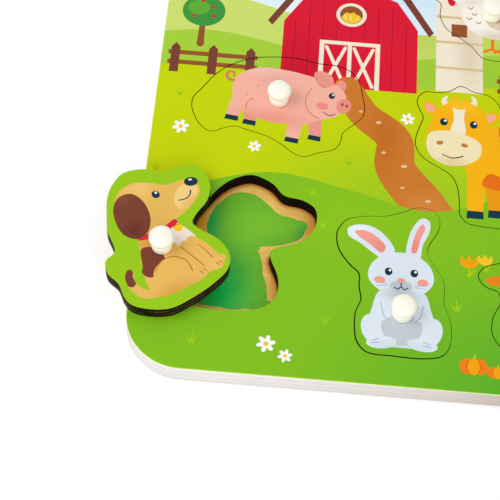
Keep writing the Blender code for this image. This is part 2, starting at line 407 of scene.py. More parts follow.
def finish_piece(bm, name, body, node, materials, placement=Matrix.Identity(4)):
    """Closed mesh as an object that rides on its body and stands for its CAD node."""
    bm.transform(placement)
    bmesh.ops.recalc_face_normals(bm, faces=bm.faces[:])
    mark_sharp(bm)
    item = mesh_object(bm, name, materials)
    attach(item, body)
    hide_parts(node)
    return item


# Printed motifs, in millimetres. Those that are scattered are drawn one unit in size.

def blob(ink, points, steps=CURVE_STEPS):
    return ink, closed_curve(points, steps)


def spot(ink, *place, **how):
    return ink, oval(*place, **how)


def mark(ink, *line, **how):
    return ink, stroke(*line, **how)


def land(ink, *points):
    """Everything on the board below a smooth line."""
    line = open_curve(points)
    return ink, np.concatenate([line, [(line[-1][0], -BEYOND), (line[0][0], -BEYOND)]])


def box_loop(x0, y0, x1, y1):
    return np.array([(x0, y0), (x1, y0), (x1, y1), (x0, y1)], float)


def ring_of(count, radius, turn=0.0):
    return moved(oval(0.0, 0.0, radius, radius, sides=count), turn=turn)


def scattered(motif, *places):
    """The motif at each (x, y, size)."""
    return [shape for x, y, size in places for shape in moved_all(motif, x=x, y=y, scale=size)]


def daisy():
    petals = [spot("white", x, y, 0.48, 0.27, math.degrees(math.atan2(y, x)), 16)
        for x, y in ring_of(6, 0.62, 15)]
    return [*petals, spot("corn_yellow", 0, 0, 0.3, 0.3, sides=16)]


def tuft(ink):
    return [mark(ink, [(lean * 0.3, 0), (lean * 0.5, rise * 0.5), (lean, rise)], 0.16, 0.05)
        for lean, rise in ((-0.55, 0.62), (0, 1), (0.5, 0.7))]


def pumpkin():
    shapes = [mark("leaf", [(0, 0.4), (0.1, 0.9)], 0.22, 0.14)]
    shapes += [spot("orange", side * 0.48, 0, 0.52, 0.62, sides=24) for side in (-1, 1)]
    shapes.append(spot("carrot", 0, 0, 0.42, 0.66, sides=24))
    for side in (-1, 1):
        crease = [(side * 0.36, 0.42), (side * 0.5, 0), (side * 0.36, -0.42)]
        shapes.append(mark("dark_orange", crease, 0.06, 0.03))
    return shapes


def tulip(ink):
    cup = [(-0.36, 1.02), (-0.42, 0.66), (-0.2, 0.42), (0.2, 0.42), (0.42, 0.66), (0.36, 1.02),
        (0.17, 0.8), (0, 1.08), (-0.17, 0.8)]
    return [mark("leaf", [(0, 0), (0, 0.5)], 0.09), mark("leaf", [(0, 0.02), (0.28, 0.34)], 0.2, 0.05),
        blob(ink, cup, 4)]


def cloud():
    return [spot("white", -1, 0, 0.55, 0.34), spot("white", -0.4, 0.22, 0.58, 0.52),
        spot("white", 0.35, 0.14, 0.62, 0.46), spot("white", 1, -0.02, 0.5, 0.3)]


def round_tree():
    shapes = [mark("brown", [(0, 0), (0, 0.9)], 0.2, 0.13),
        mark("brown", [(0, 0.55), (0.24, 0.9)], 0.09, 0.05), spot("tree_green", 0, 1.15, 0.58, 0.54),
        spot("meadow_dark", -0.14, 1.25, 0.3, 0.25)]
    return shapes + [spot("red", x, y, 0.055, 0.055, sides=14)
        for x, y in ((-0.25, 0.95), (0.22, 1.3), (0.28, 0.98), (-0.05, 1.5))]


def fence(x0, x1, y, count):
    """Rail fence of evenly spaced posts with pointed tops."""
    post = [(-1.9, 0), (1.9, 0), (1.9, 13.5), (0, 15.8), (-1.9, 13.5)]
    shapes = [("brown", box_loop(x0 - 3, y + rise, x1 + 3, y + rise + 2.3)) for rise in (4.2, 9.4)]
    return shapes + [("beam", moved(post, x, y)) for x in np.linspace(x0, x1, count)]


def barn():
    """Barn with a stepped roof, a braced door and a round loft window, over its base's middle."""
    wall = [(-29, 0), (29, 0), (29, 34), (20, 49), (0, 58), (-20, 49), (-29, 34)]
    roof = [(-34, 31), (-22.5, 50.5), (0, 61), (22.5, 50.5), (34, 31), (36, 33.5), (24.5, 53.5),
        (0, 65), (-24.5, 53.5), (-36, 33.5)]
    shapes = [("red", np.array(wall)), ("beam", np.array(roof))]
    for x in range(-24, 25, 6):
        shapes.append(("dark_red", box_loop(x - 0.2, 1, x + 0.2, 46 if abs(x) < 20 else 36)))
    shapes += [("cream", box_loop(-13, 0, 13, 25)), ("red", box_loop(-11, 0, -0.9, 23)),
        ("red", box_loop(0.9, 0, 11, 23))]
    for side in (-1, 1):
        for low, high in ((1.5, 21.5), (21.5, 1.5)):
            shapes.append(mark("cream", [(side * 1.9, low), (side * 10, high)], 1.5, steps=1))
    angles = np.radians(np.linspace(200, 340, 15))
    heap = [(4.8 * math.cos(angle), 4.8 * math.sin(angle)) for angle in angles]
    heap += [(3.6, -0.2), (2.2, 0.4), (1, 1.6), (-0.6, 0.8), (-2.2, 1.4), (-3.4, -0.2)]
    loft = [spot("cream", 0, 0, 6.6, 6.6), spot("brown", 0, 0, 5, 5), ("corn_yellow", heap)]
    for straw in ([(-2.4, -2.6), (-3, 0.2)], [(0, -3), (-0.6, 0)], [(2.4, -2.8), (3, -0.4)]):
        loft.append(mark("sun_ring", straw, 0.5, 0.3, 1))
    return shapes + moved_all(loft, y=40)


def silo():
    """Round store tower with hoops and a domed cap, over its base's middle."""
    cap = np.concatenate([oval(0, 52, 11.5, 10)[:19], [(-11.5, 51), (11.5, 51)]])
    hoops = [("sand", box_loop(-10, rise, 10, rise + 1.4)) for rise in (12, 26, 40)]
    return [("cream", box_loop(-10, 0, 10, 52)), ("beam", cap), *hoops,
        ("brown", box_loop(-3.4, 30, 3.4, 37))]


def pond():
    """Pool with a grassy bank, ripples, lily pads and reeds."""
    pool = closed_curve([(-5, -78), (-3, -94), (10, -103), (28, -99), (42, -104), (56, -95), (53, -80),
        (42, -69), (26, -61), (6, -65)])
    shapes = [("bank", offset_loop(pool, 1.7)), ("water", pool)]
    for x, y, reach in ((46, -92, 3.4), (47, -85, 2.6), (38, -98.4, 3), (22, -97.6, 0.1), (40, -77, 2.8)):
        wave = [(x - reach, y), (x - reach * 0.4, y - 0.8), (x + reach * 0.4, y), (x + reach, y - 0.7)]
        shapes.append(mark("ripple", wave, 0.7, 0.35))
    lily = [spot("tree_green", 0, 0, 1, 0.7, sides=24), ("water", [(0, 0), (1.1, 0.5), (1.1, 0.05)])]
    shapes += scattered(lily, (34.5, -70.5, 2.6), (30.2, -67.2, 1.8))
    for x, top, lean in ((55, -76.5, 0.6), (58, -79.5, 1.6), (52.4, -79, -0.8)):
        shapes.append(mark("leaf", [(x, -93), (x + lean * 0.4, -86), (x + lean, top)], 0.7, 0.4))
        shapes.append(mark("brown", [(x + lean * 0.9, top - 2.6), (x + lean, top + 0.4)], 1.7, 1.4, 1))
    return shapes


def background():
    """Farmyard over the whole board, round the board's centre."""
    shapes = [("sky", box_loop(-BEYOND_SIDES, -BEYOND, BEYOND_SIDES, BEYOND)),
        spot("sun_ring", 112, 84, 17, 17), spot("sun", 112, 84, 12.5, 12.5)]
    shapes += scattered(cloud(), (-122, 90, 13), (38, 93, 11), (77, 74, 8))
    shapes.append(land("far_hill", (-165, 58), (-128, 70), (-84, 60), (-30, 57), (14, 68), (62, 60),
        (104, 66), (165, 54)))
    shapes.append(land("hill", (-165, 44), (-130, 50), (-70, 40), (10, 50), (60, 44), (116, 52),
        (165, 42)))
    shapes.append(land("lime", (-165, 28), (-120, 31), (-60, 25), (0, 31), (52, 25), (110, 32),
        (165, 27)))
    shapes += scattered(round_tree(), (52, 34, 24), (134, 34, 20), (-134, 42, 16))
    shapes += moved_all(silo(), x=-23, y=27) + moved_all(barn(), x=-70, y=24.5)
    shapes += fence(-4, 44, 24, 4) + fence(-144, -112, 26, 3)
    path = [(-70, 24.6), (-63, 12), (-50, 0), (-49, -14), (-38, -30), (-30, -44)]
    shapes.append(mark("mud", path, 12, 20))
    shapes += scattered([spot("sand", 0, 0, 1, 0.62, 12, 18)], (-64, 13, 0.9), (-56.5, 8, 1.2),
        (-54, -7, 1), (-45.5, -13, 1.3), (-46, -23.5, 0.9), (-35.5, -29, 1.2), (-39, -39, 1))
    shapes.append(land("meadow", (-165, -44), (-140, -34), (-100, -21), (-66, -27), (-34, -34), (6, -22),
        (52, -31), (100, -20), (165, -34)))
    shapes += pond() + scattered(pumpkin(), (-17.5, -101.5, 5.4), (-8.6, -103.4, 3.8))
    shapes += scattered(daisy(), (-96, -99, 3.4), (-88.5, -103.5, 2.6), (-44.5, 11, 2.8),
        (-107, -9, 2.6), (-138, -2, 3.2), (66, -60, 3.2), (136, -96, 3.4), (139, -4, 3), (50, -8, 3))
    for ink, *place in (("carrot", -19, -62, 8.5), ("corn_yellow", -12.8, -59.5, 7),
            ("carrot", 134, -60, 8.5), ("red", 140, -64, 7), ("carrot", 65, -101, 8)):
        shapes += scattered(tulip(ink), place)
    shapes += scattered(tuft("lime_line"), (-124, -101, 4.2), (-77, -45, 3.8), (-24, -78, 4.4),
        (-74, -88, 3.4), (-82, -30, 3.4), (104, -104, 4.2), (58, -42, 4), (140, -30, 4),
        (-146, -70, 3.6))
    return shapes + scattered(tuft("grass_line"), (-140, 14, 3.8), (-68, -14, 3.4), (56, 16, 3.8),
        (144, 14, 3.8), (-146, -24, 3.6), (52, 8, 3))


# Animals, in millimetres round their knob's axis

def eye(x, y, size=1.5, lean=0):
    """Plain dark eye with one highlight."""
    return [spot("night", x, y, size * 0.86, size, lean, 24),
        spot("white", x + size * 0.28, y + size * 0.36, size * 0.3, size * 0.3, sides=14)]


def legs(height, *rows):
    """Straight legs with hooves of the height, each from its (x, y) at the body down to the ground."""
    shapes = []
    for ink, x0, y0, x1, y1, width, foot in rows:
        half, ankle = width * 0.5, y1 + height
        hoof = [(x1 - half, ankle), (x1 + half, ankle), (x1 + foot * 0.5, y1), (x1 - foot * 0.5, y1)]
        thigh = [(x0 - width * 0.62, y0), (x0 + width * 0.62, y0)]
        shapes += [(ink, np.array(thigh + hoof[1:] + hoof[:1])), ("night", np.array(hoof))]
    return shapes


def dog():
    body = [(-3.5, 12), (-8.6, 4), (-12.6, -4), (-15.6, -12.5), (-14.2, -19), (-7, -21.2), (3, -21),
        (11, -20.6), (13.4, -14), (12.4, -6), (10.6, 1), (9.6, 8), (4, 14)]
    chest = [(3.4, 5.6), (9.6, 6.8), (12.6, 1), (13.2, -6.6), (10.2, -11), (6.8, -7.6), (4.4, -1)]
    head = [(-6.6, 20), (-5.6, 27), (0.2, 32), (7.6, 31.8), (13.4, 27.6), (18, 23.4), (25, 21.6),
        (29, 18), (27.6, 12.8), (21.4, 9.4), (13.6, 7.6), (5, 7), (-3, 10.4)]
    ear = [(-1.6, 29.6), (3.4, 28.2), (5.4, 22.4), (3.6, 14.2), (-1.4, 8.8), (-7, 8.6), (-10.2, 13.6),
        (-9.4, 20.6), (-6.4, 26.6)]
    muzzle = [(17, 16.4), (22.4, 19.6), (27.4, 18), (27.2, 13.6), (21.6, 10.4), (15.6, 10.6)]
    saddle = [(-8, 3.6), (-3.2, 1), (-2.6, -5), (-6.4, -10), (-12.6, -9.6), (-14.2, -6), (-12.4, -3.6)]
    shapes = [mark("dog_fur", [(-12.5, -17.5), (-18.5, -14.6), (-20.6, -8.2), (-18.2, -3)], 4.6, 3),
        mark("dog_ear", [(-20.4, -7.4), (-19.7, -4.6), (-18.2, -2.8)], 3.6, 2.8), blob("dog_fur", body),
        blob("dog_ear", saddle), blob("dog_chest", chest)]
    shapes += [mark("dog_fur", [(11, -5), (13.2, -10), (14.4, -17.4)], 4.6, 3.4),
        spot("dog_fur", 15, -18.3, 3, 1.8),
        mark("dog_line", [(12, -7.6), (12.8, -11.4), (13.2, -16.2)], 0.3, 0.45),
        mark("dog_fur", [(7.6, -6), (9.6, -12.6), (10.8, -18.8)], 6, 4.4),
        spot("dog_fur", 12.6, -19.8, 4, 2.2), spot("dog_fur", -3, -13.4, 9.2, 7.4, -12),
        spot("dog_fur", 2.6, -19.4, 6.4, 2.7),
        mark("dog_line", [(-9.6, -8.6), (-5, -5.9), (0.2, -6.6), (3.6, -11), (3, -16.6)], 0.3, 0.5),
        mark("dog_line", [(5.6, -4.8), (7, -11.4), (8.2, -17.6)], 0.5, 0.4)]
    for x, y in ((5.4, -18.4), (7.2, -18.4), (13, -18.9), (14.6, -19)):
        shapes.append(mark("dog_line", [(x, y), (x + 0.5, y - 1.7)], 0.45, steps=2))
    shapes += [blob("dog_fur", head), mark("collar", [(-5.6, 8.4), (1.4, 5.6), (10.4, 6.6)], 2.7, 2.5),
        spot("corn_yellow", 10, 3.4, 1.9, 1.9, sides=20),
        mark("dog_line", [(8.6, 4.6), (10, 5.1), (11.3, 4.6)], 0.4, steps=3),
        blob("dog_muzzle", muzzle), spot("night", 27.3, 18.9, 2.9, 2.2, -30),
        spot("white", 27.6, 19.9, 0.8, 0.45, -30, 12),
        mark("night", [(24.6, 15.4), (23.2, 13.8), (20.6, 13.2), (17.8, 14.2)], 0.6, 0.45),
        blob("dog_ear", ear)]
    shapes += eye(11.6, 22, 1.9)
    return [spot("bright_meadow", 2, 4, 40, 40)] + moved_all(shapes, x=0.5, scale=0.95)


def rabbit():
    left_ear = [(-7, 23.4), (-12, 26.4), (-17.4, 30.6), (-21.8, 33.4), (-22.2, 36.8), (-18.6, 38.8),
        (-12.6, 38.4), (-7, 34.2), (-3.4, 27.4)]
    left_inner = [(-8.6, 26.6), (-13, 30), (-17.8, 33.4), (-19.4, 35.6), (-15.6, 36.4), (-10.6, 33.8),
        (-7, 29.4)]
    right_ear = [(1.4, 25.6), (1.6, 33), (4, 40.4), (7.4, 44.2), (10.1, 42.8), (10.2, 38.2), (7.6, 31.6),
        (6, 24)]
    right_inner = [(3.3, 27.6), (3.7, 33.2), (5.7, 39.2), (7.5, 41.4), (8.4, 39.6), (6.6, 34), (5, 28)]
    head = [(-13.4, 15), (-12.4, 21.4), (-7, 26.2), (-0.6, 27.4), (6, 26), (11, 21), (11.9, 14.6),
        (8, 9.6), (0, 7.6), (-8.6, 9.6)]
    body = [(-8.4, 10), (-11.6, 2), (-13, -6), (-10.6, -13), (0, -14.6), (11, -13), (13, -6), (11.2, 2),
        (8, 10)]
    shapes = [blob("rabbit_fur", left_ear), blob("rabbit_pink", left_inner),
        blob("rabbit_fur", right_ear), blob("rabbit_pink", right_inner),
        spot("rabbit_fur", -10.8, -7.4, 4.6, 6.6, 18), spot("rabbit_fur", 11, -7.4, 4.4, 6.6, -18),
        blob("rabbit_fur", body), spot("rabbit_belly", 0, -5.6, 7.9, 8)]
    shapes += [spot("rabbit_fur", -7.6, -12.8, 5.8, 2.7, 6), spot("rabbit_fur", 8, -12.8, 5.8, 2.7, -6),
        spot("rabbit_fur", -6.6, 1, 3, 4.8, -28), spot("rabbit_fur", 6.8, 1, 3, 4.8, 28)]
    for side in (-1, 1):
        shapes += [mark("rabbit_line", [(side * 8.6, -11.4), (side * 11, -12.4)], 0.4, steps=2),
            mark("rabbit_line", [(side * 8.4, -12.9), (side * 11.4, -13.5)], 0.4, steps=2),
            mark("rabbit_line", [(side * 8.2, 4.2), (side * 6.9, -1.2), (side * 4.9, -3.2)], 0.4, 0.3)]
    shapes += [blob("rabbit_fur", head), spot("blush", -9, 14.4, 2.2, 1.6),
        spot("blush", 7.8, 14.4, 2.2, 1.6), spot("rabbit_belly", -0.6, 12, 4.4, 2.9),
        blob("blush", [(-2.2, 15.2), (-0.6, 15.8), (1, 15.2), (-0.6, 13.5)], 4),
        mark("night", [(-3.2, 11.6), (-1.8, 10.8), (-0.6, 12), (0.6, 10.8), (2, 11.6)], 0.45),
        mark("night", [(-0.6, 13.6), (-0.6, 12)], 0.45, steps=2)]
    for side in (-1, 1):
        for rise in (-0.7, 1):
            whisker = [(-0.6 + side * 5.6, 12.4 + rise * 0.4), (-0.6 + side * 9.6, 12.4 + rise)]
            shapes.append(mark("rabbit_line", whisker, 0.34, 0.2, 2))
    return shapes + eye(-5.6, 18.4, 1.75) + eye(4.4, 18.4, 1.75)


def pig():
    body = [(-22, 4), (-20, 11.6), (-12, 16.8), (0, 18.2), (12, 17.4), (20, 16.6), (27.4, 12.6), (30, 6),
        (27, -1.6), (20.6, -5.4), (14, -9.4), (3, -11.6), (-9, -10.8), (-18.6, -5.4)]
    ear = [(13.4, 16.8), (13, 20.2), (16.4, 21.6), (20.8, 19.6), (22.2, 15.2), (18.6, 12.4)]
    far_ear = [(23.4, 15.4), (25.4, 18.6), (28.2, 16.4), (27.2, 12.6)]
    curl = [(-20.6, 7.4), (-23.6, 7), (-25.8, 8.8), (-25.2, 11.4), (-22.9, 11.4), (-22.7, 9.4)]
    shapes = [mark("pig_line", curl, 1.5, 0.9), blob("pig_shade", far_ear)]
    shapes += legs(2.6, ("pig_shade", -11.4, -6, -10.4, -15.6, 5.6, 6),
        ("pig_shade", 17.4, -4, 19.4, -17.2, 5.4, 5.8), ("pig_skin", -17.2, -2, -18.6, -14.8, 5.8, 6.2),
        ("pig_skin", 9.6, -6, 9.8, -20.6, 5.8, 6.2))
    shapes += [blob("pig_skin", body),
        mark("pig_line", [(13.2, 11), (11.6, 4.6), (14, -2), (19.4, -5)], 0.3, 0.55),
        mark("pig_line", [(-13.4, -7.4), (-13.6, -3.6), (-11.4, -0.8)], 0.5, 0.3), blob("pig_shade", ear),
        mark("pig_line", [(13.8, 17.4), (15.6, 14), (18.4, 12.6)], 0.3, 0.5),
        spot("pig_cheek", 19.6, 2.2, 2.8, 2), spot("pig_snout", 29, 4.4, 3.3, 4.1, -6),
        spot("pig_nostril", 28.2, 5.2, 0.62, 1, -6, 16), spot("pig_nostril", 30.3, 4.8, 0.62, 1, -6, 16),
        mark("night", [(20.6, -0.8), (23.2, -2.2), (26, -1)], 0.35, 0.5)]
    for x, y in ((-8.6, 9.6), (-6, 7.2), (-10.8, 6.6), (-14.6, 0.6), (-12, -1.6)):
        shapes.append(spot("pig_snout", x, y, 0.6, 0.5, sides=12))
    shapes += eye(22.8, 8.8, 1.7)
    return moved_all(shapes, turn=-8, y=-0.9, scale=0.93)


def cow():
    body = [(-14, 18), (-4, 21), (10, 22.4), (24, 22.2), (33, 18.6), (36.2, 10), (35, 0), (30, -8),
        (18, -11.4), (2, -11.6), (-12, -10.4), (-19.6, -5), (-20.6, 6)]
    head = [(-36, 8), (-36.2, 15), (-33.8, 23), (-29.6, 29.4), (-23, 31.6), (-16.4, 30.4), (-11.8, 25.4),
        (-10.6, 17.6), (-13, 9.6), (-19, 3.6), (-28, 1.6)]
    muzzle = [(-36.6, 9.4), (-35, 14.6), (-28.8, 16.2), (-20.6, 14.8), (-14.2, 10.6), (-14.6, 4.2),
        (-20.6, -0.4), (-29.4, -0.8), (-35, 3.4)]
    blaze = [(-25.4, 31.2), (-20.8, 31.2), (-21, 23), (-20.6, 15.2), (-26.4, 15.6), (-25.2, 22.6)]
    forelock = [(-27, 30), (-24.6, 34.4), (-22.6, 31.6), (-20.2, 34), (-18.8, 29.8), (-22.8, 27.4)]
    left_ear = [(-31.4, 26.6), (-35, 30.4), (-38, 30.2), (-37.6, 26.2), (-34.4, 23.2)]
    right_ear = [(-13.2, 25), (-9.6, 27.4), (-6.2, 26.2), (-7, 22.8), (-11.6, 20.4)]
    shapes = [mark("cow_shade", [(34.4, 14), (37, 6), (36.2, -5)], 2, 1.5),
        blob("cow_patch", [(35, -4), (37, -7), (36.4, -12), (34, -10.6), (33.6, -6.6)])]
    shapes += legs(3.6, ("cow_shade", -9, -8, -8.2, -25, 6, 6.6), ("cow_shade", 20, -8, 20.6, -25, 6, 6.6),
        ("cow_coat", -16, -6, -16.6, -26, 6.4, 7), ("cow_coat", 29, -4, 29.6, -26, 6.8, 7))
    shapes += [blob("cow_udder", [(9, -9), (9.8, -14.2), (12.6, -15.6), (15.8, -14.2), (17, -9)]),
        blob("cow_coat", body),
        blob("cow_patch", [(-6, 20.4), (-5.4, 13), (1, 9.6), (8.4, 13), (9.4, 22.2), (2, 22)]),
        blob("cow_patch", [(18.6, 3.6), (21, 9.2), (27.4, 10), (31.4, 4.2), (28, -2.4), (21.6, -3.4)]),
        blob("cow_patch", [(-13.6, -9.6), (-11, -4), (-5.6, -5.6), (-4.4, -11.2)]),
        mark("cow_line", [(24.6, -8.8), (23.8, -4.4), (25.4, -1.6)], 0.5, 0.3)]
    for horn in ([(-28.6, 29.2), (-29.4, 31.8), (-28.2, 33.8)],
            [(-17.6, 29.8), (-16.4, 32.4), (-17.4, 34.4)]):
        shapes.append(mark("cream", horn, 3, 1.1))
    shapes += [blob("cow_coat", left_ear),
        ("cow_udder", moved(closed_curve(left_ear), -14.2, 10.9, scale=0.6)), blob("cow_coat", right_ear),
        ("cow_udder", moved(closed_curve(right_ear), -4, 9.9, scale=0.6)), blob("cow_coat", head),
        blob("cream", blaze), blob("cow_muzzle", muzzle), spot("cow_nostril", -31, 9.8, 1.5, 1, 14, 20),
        spot("cow_nostril", -20.8, 9.4, 1.5, 1, -14, 20),
        mark("night", [(-30, 4.2), (-26, 2.6), (-21.6, 3.8)], 0.4, 0.6), blob("cow_coat", forelock)]
    return shapes + eye(-29.4, 20.6, 1.9) + eye(-17, 20.2, 1.9)


def duck():
    body = [(-12.6, 5.6), (-16.4, -2), (-18.4, -9.4), (-15, -15.8), (-6, -19.4), (4, -19.6), (13, -16.8),
        (19.4, -10.6), (22.6, -2.6), (24.8, 5.4), (19, 4.6), (12, 2.6), (3, 1.8), (-3.6, 4.6)]
    wing = [(-5.6, -4), (-1, -1.6), (8, -2), (16.6, -3.4), (13.6, -9.4), (6, -12.8), (-2, -11.2)]
    bill = [(-17.6, 13.6), (-21.4, 13.6), (-25.4, 12.2), (-24.6, 10), (-20.6, 9.4), (-16.8, 9.8)]
    shapes = [blob("duck_bill", bill),
        mark("duck_line", [(-24.4, 11.4), (-20.8, 11.5), (-18, 11.9)], 0.4),
        spot("duck_down", -11.4, 12.8, 7.8, 8), blob("duck_down", body), blob("duck_wing", wing),
        mark("duck_down", [(-10.6, 19.4), (-8.8, 21.4), (-7, 20.2)], 1.4, 0.6),
        spot("blush", -8.6, 9.8, 1.9, 1.4)]
    for reach in (0, 4, 8):
        feather = [(2.6 + reach, -4.4), (6.2 + reach * 0.9, -6.8), (3.8 + reach, -9.4)]
        shapes.append(mark("duck_line", feather, 0.3, 0.6))
    for x, y in ((-8.4, -18.4), (1.2, -19), (10.6, -17.4)):
        ripple = [(x - 4, y), (x - 1.6, y - 1), (x + 1.4, y), (x + 3.6, y - 0.6)]
        shapes.append(mark("water", ripple, 0.9, 0.5))
    return shapes + eye(-14.2, 14.6, 1.6)


def sheep():
    shapes = legs(3, ("sheep_leg_far", -9, -6, -9.6, -23.6, 4.4, 4.8),
        ("sheep_leg_far", 14, -6, 14.4, -23.6, 4.4, 4.8),
        ("sheep_face", -16, -6, -17, -24.8, 4.6, 5.2), ("sheep_face", 20.6, -6, 21.6, -24.8, 4.6, 5.2))
    shapes.append(spot("fleece", 2, 4, 22, 13.6))
    shapes += [spot("fleece", x, y, 5, 4.8, sides=24) for x, y in oval(2, 4, 22, 12.8, sides=16)]
    for x, y in ((-6, 10), (5, 11.6), (15.6, 8.4), (-9, 1.6), (11.6, 0), (20, -1), (4, -6.4),
            (-5.4, -5.6)):
        curl = [(x - 2.2, y), (x - 0.8, y + 1.5), (x + 1, y + 0.9), (x + 1.2, y - 0.8), (x - 0.2, y - 1)]
        shapes.append(mark("fleece_line", curl, 0.65, 0.4))
    head = [(-20, 15.6), (-17.4, 10), (-18.6, 2.4), (-23, -3), (-28.4, -2.2), (-31.4, 3), (-31.6, 9),
        (-28.6, 15.2), (-24, 17.4)]
    shapes += [blob("sheep_face", [(-18.6, 13.4), (-13, 14.4), (-10, 11.4), (-13.6, 9), (-18, 9.6)]),
        blob("sheep_face", [(-30, 12.8), (-33.2, 12.4), (-34.4, 9), (-31.6, 8.2)]),
        blob("sheep_face", head), spot("fleece", -26.6, 17, 4.2, 3.6),
        spot("fleece", -21.4, 18.2, 4.6, 3.9),
        blob("night", [(-28.6, 1.6), (-26.4, 2.2), (-24.2, 1.6), (-26.4, 0)], 4),
        mark("sheep_line", [(-28.6, -0.4), (-26.4, -1.4), (-24, -0.2)], 0.45),
        spot("blush", -21.8, 3.6, 1.8, 1.3)]
    shapes += [spot("white", -28.4, 8.4, 1.9, 2.2, sides=24),
        spot("white", -22.8, 8.4, 1.9, 2.2, sides=24)]
    return moved_all(shapes + eye(-28.1, 8.2, 1.55) + eye(-22.9, 8.2, 1.55), scale=0.95)


def horse():
    body = [(-18.4, 12), (-12, 14.6), (-2, 13), (8, 12.6), (20, 14), (28.4, 11), (31.6, 2), (29.6, -8),
        (23, -13), (10, -12.6), (-2, -12), (-12.6, -11.4), (-18.4, -5), (-18.8, 5)]
    neck = [(-27, 17.6), (-34, 16.4), (-35.4, 20.4), (-32.2, 25.6), (-27.2, 31.2), (-21.6, 35.4),
        (-16, 34.2), (-11.8, 28.4), (-8, 20), (-3, 12), (-16, 2), (-20.4, 12), (-22.2, 17.2)]
    muzzle = [(-35.2, 20), (-34, 16.2), (-28.6, 17.4), (-26, 20.4), (-28.8, 23.6), (-32.2, 24)]
    mane = [(-19.8, 35.2), (-14.8, 36.2), (-10.8, 31.4), (-7.4, 24.6), (-3.4, 18), (0.6, 13.4),
        (-4.6, 12.2), (-8.6, 16), (-11.8, 22), (-14.6, 28.6), (-17.6, 32.4)]
    tail = [(28, 10.6), (32.4, 8.6), (33.4, 1), (33, -8), (30.6, -15.4), (28.8, -9), (28.2, 0)]
    shapes = [blob("mane", tail)]
    shapes += legs(3.8, ("horse_shade", -9, -8, -9, -33, 5.4, 6.2),
        ("horse_shade", 18, -8, 18.6, -33, 5.4, 6.2),
        ("horse_coat", -16, -5, -16.8, -34, 6, 6.8), ("horse_coat", 25.4, -5, 25.8, -34, 6.2, 6.8))
    shapes += [blob("horse_coat", [(-22.4, 33.6), (-21.8, 37.8), (-18.6, 35.4), (-18.8, 31.6)]),
        blob("horse_coat", body), blob("horse_coat", neck), blob("horse_muzzle", muzzle),
        blob("mane", mane),
        blob("mane", [(-20.4, 36.4), (-23.8, 35), (-26.4, 31), (-22.8, 31.8), (-19.6, 33.6)]),
        spot("night", -32.4, 20.4, 0.6, 0.8, 30, 14),
        mark("night", [(-32.6, 18), (-30.2, 18.2), (-28.4, 19.4)], 0.4),
        mark("horse_line", [(22, -11), (20.8, -5), (23.2, 0)], 0.5, 0.3),
        mark("horse_line", [(-21.6, 18.2), (-19.8, 20.8), (-20.8, 24)], 0.5, 0.3)]
    shapes += [("white", box_loop(x - 2.9, -29.8, x + 2.9, -27.2)) for x in (-16.6, 25.7)]
    return moved_all(shapes + eye(-25.6, 27, 1.6), scale=0.94)


def hen():
    body = [(-9, 14), (-12.6, 6), (-13, -2), (-8.4, -9.4), (0, -13.2), (9, -12), (15.6, -6.4), (19.4, 1),
        (21.6, 8.6), (14, 9.4), (7, 7.4), (1.6, 8.6), (-3, 14)]
    wing = [(-2.8, 1.8), (3.6, 2.8), (11.8, 1.6), (10, -4.6), (4, -8), (-1.4, -5.6)]
    tail = [(16, 3), (17.4, 9.8), (22.4, 14.6), (24.2, 10), (23, 4), (19, -1.6)]
    shapes = [blob("hen_tail", tail)]
    for x in (0.4, 4.8):
        shapes.append(mark("duck_bill", [(x, -11), (x, -19)], 1.5, steps=2))
        shapes.append(mark("duck_bill", [(x - 3.6, -20.4), (x, -18.8), (x + 3, -20.4)], 1.3))
    comb = [(-16.8, 18.6), (-17.8, 21.8), (-15.2, 21), (-13.6, 23.6), (-11.6, 21.2), (-8.8, 22.4),
        (-9.2, 18.4)]
    shapes += [blob("red", comb, 4), spot("red", -17.4, 6.6, 1.7, 2.9, 8, 20),
        ("corn_yellow", np.array([(-18.6, 14.4), (-24, 11.8), (-18.6, 9.8)])),
        spot("hen_body", -12.8, 13, 6.9, 7), blob("hen_body", body), blob("hen_wing", wing)]
    for reach in (0, 3, 6):
        feather = [(1.6 + reach, 0.8), (4.2 + reach * 0.9, -1.6), (2.4 + reach * 0.8, -4)]
        shapes.append(mark("hen_line", feather, 0.3, 0.55))
    for x, y in ((-9, 3.4), (-7.4, 0), (-9.6, -2.6), (-5.6, -4.6)):
        shapes.append(mark("hen_line", [(x - 1, y + 0.5), (x, y - 0.5), (x + 1, y + 0.5)], 0.5))
    return shapes + eye(-14.6, 14, 1.4)


FIGURES = {"dog": dog, "rabbit": rabbit, "pig": pig, "cow": cow, "duck": duck, "sheep": sheep,
    "horse": horse, "hen": hen}


# Inks: colour in sRGB from 0 to 255

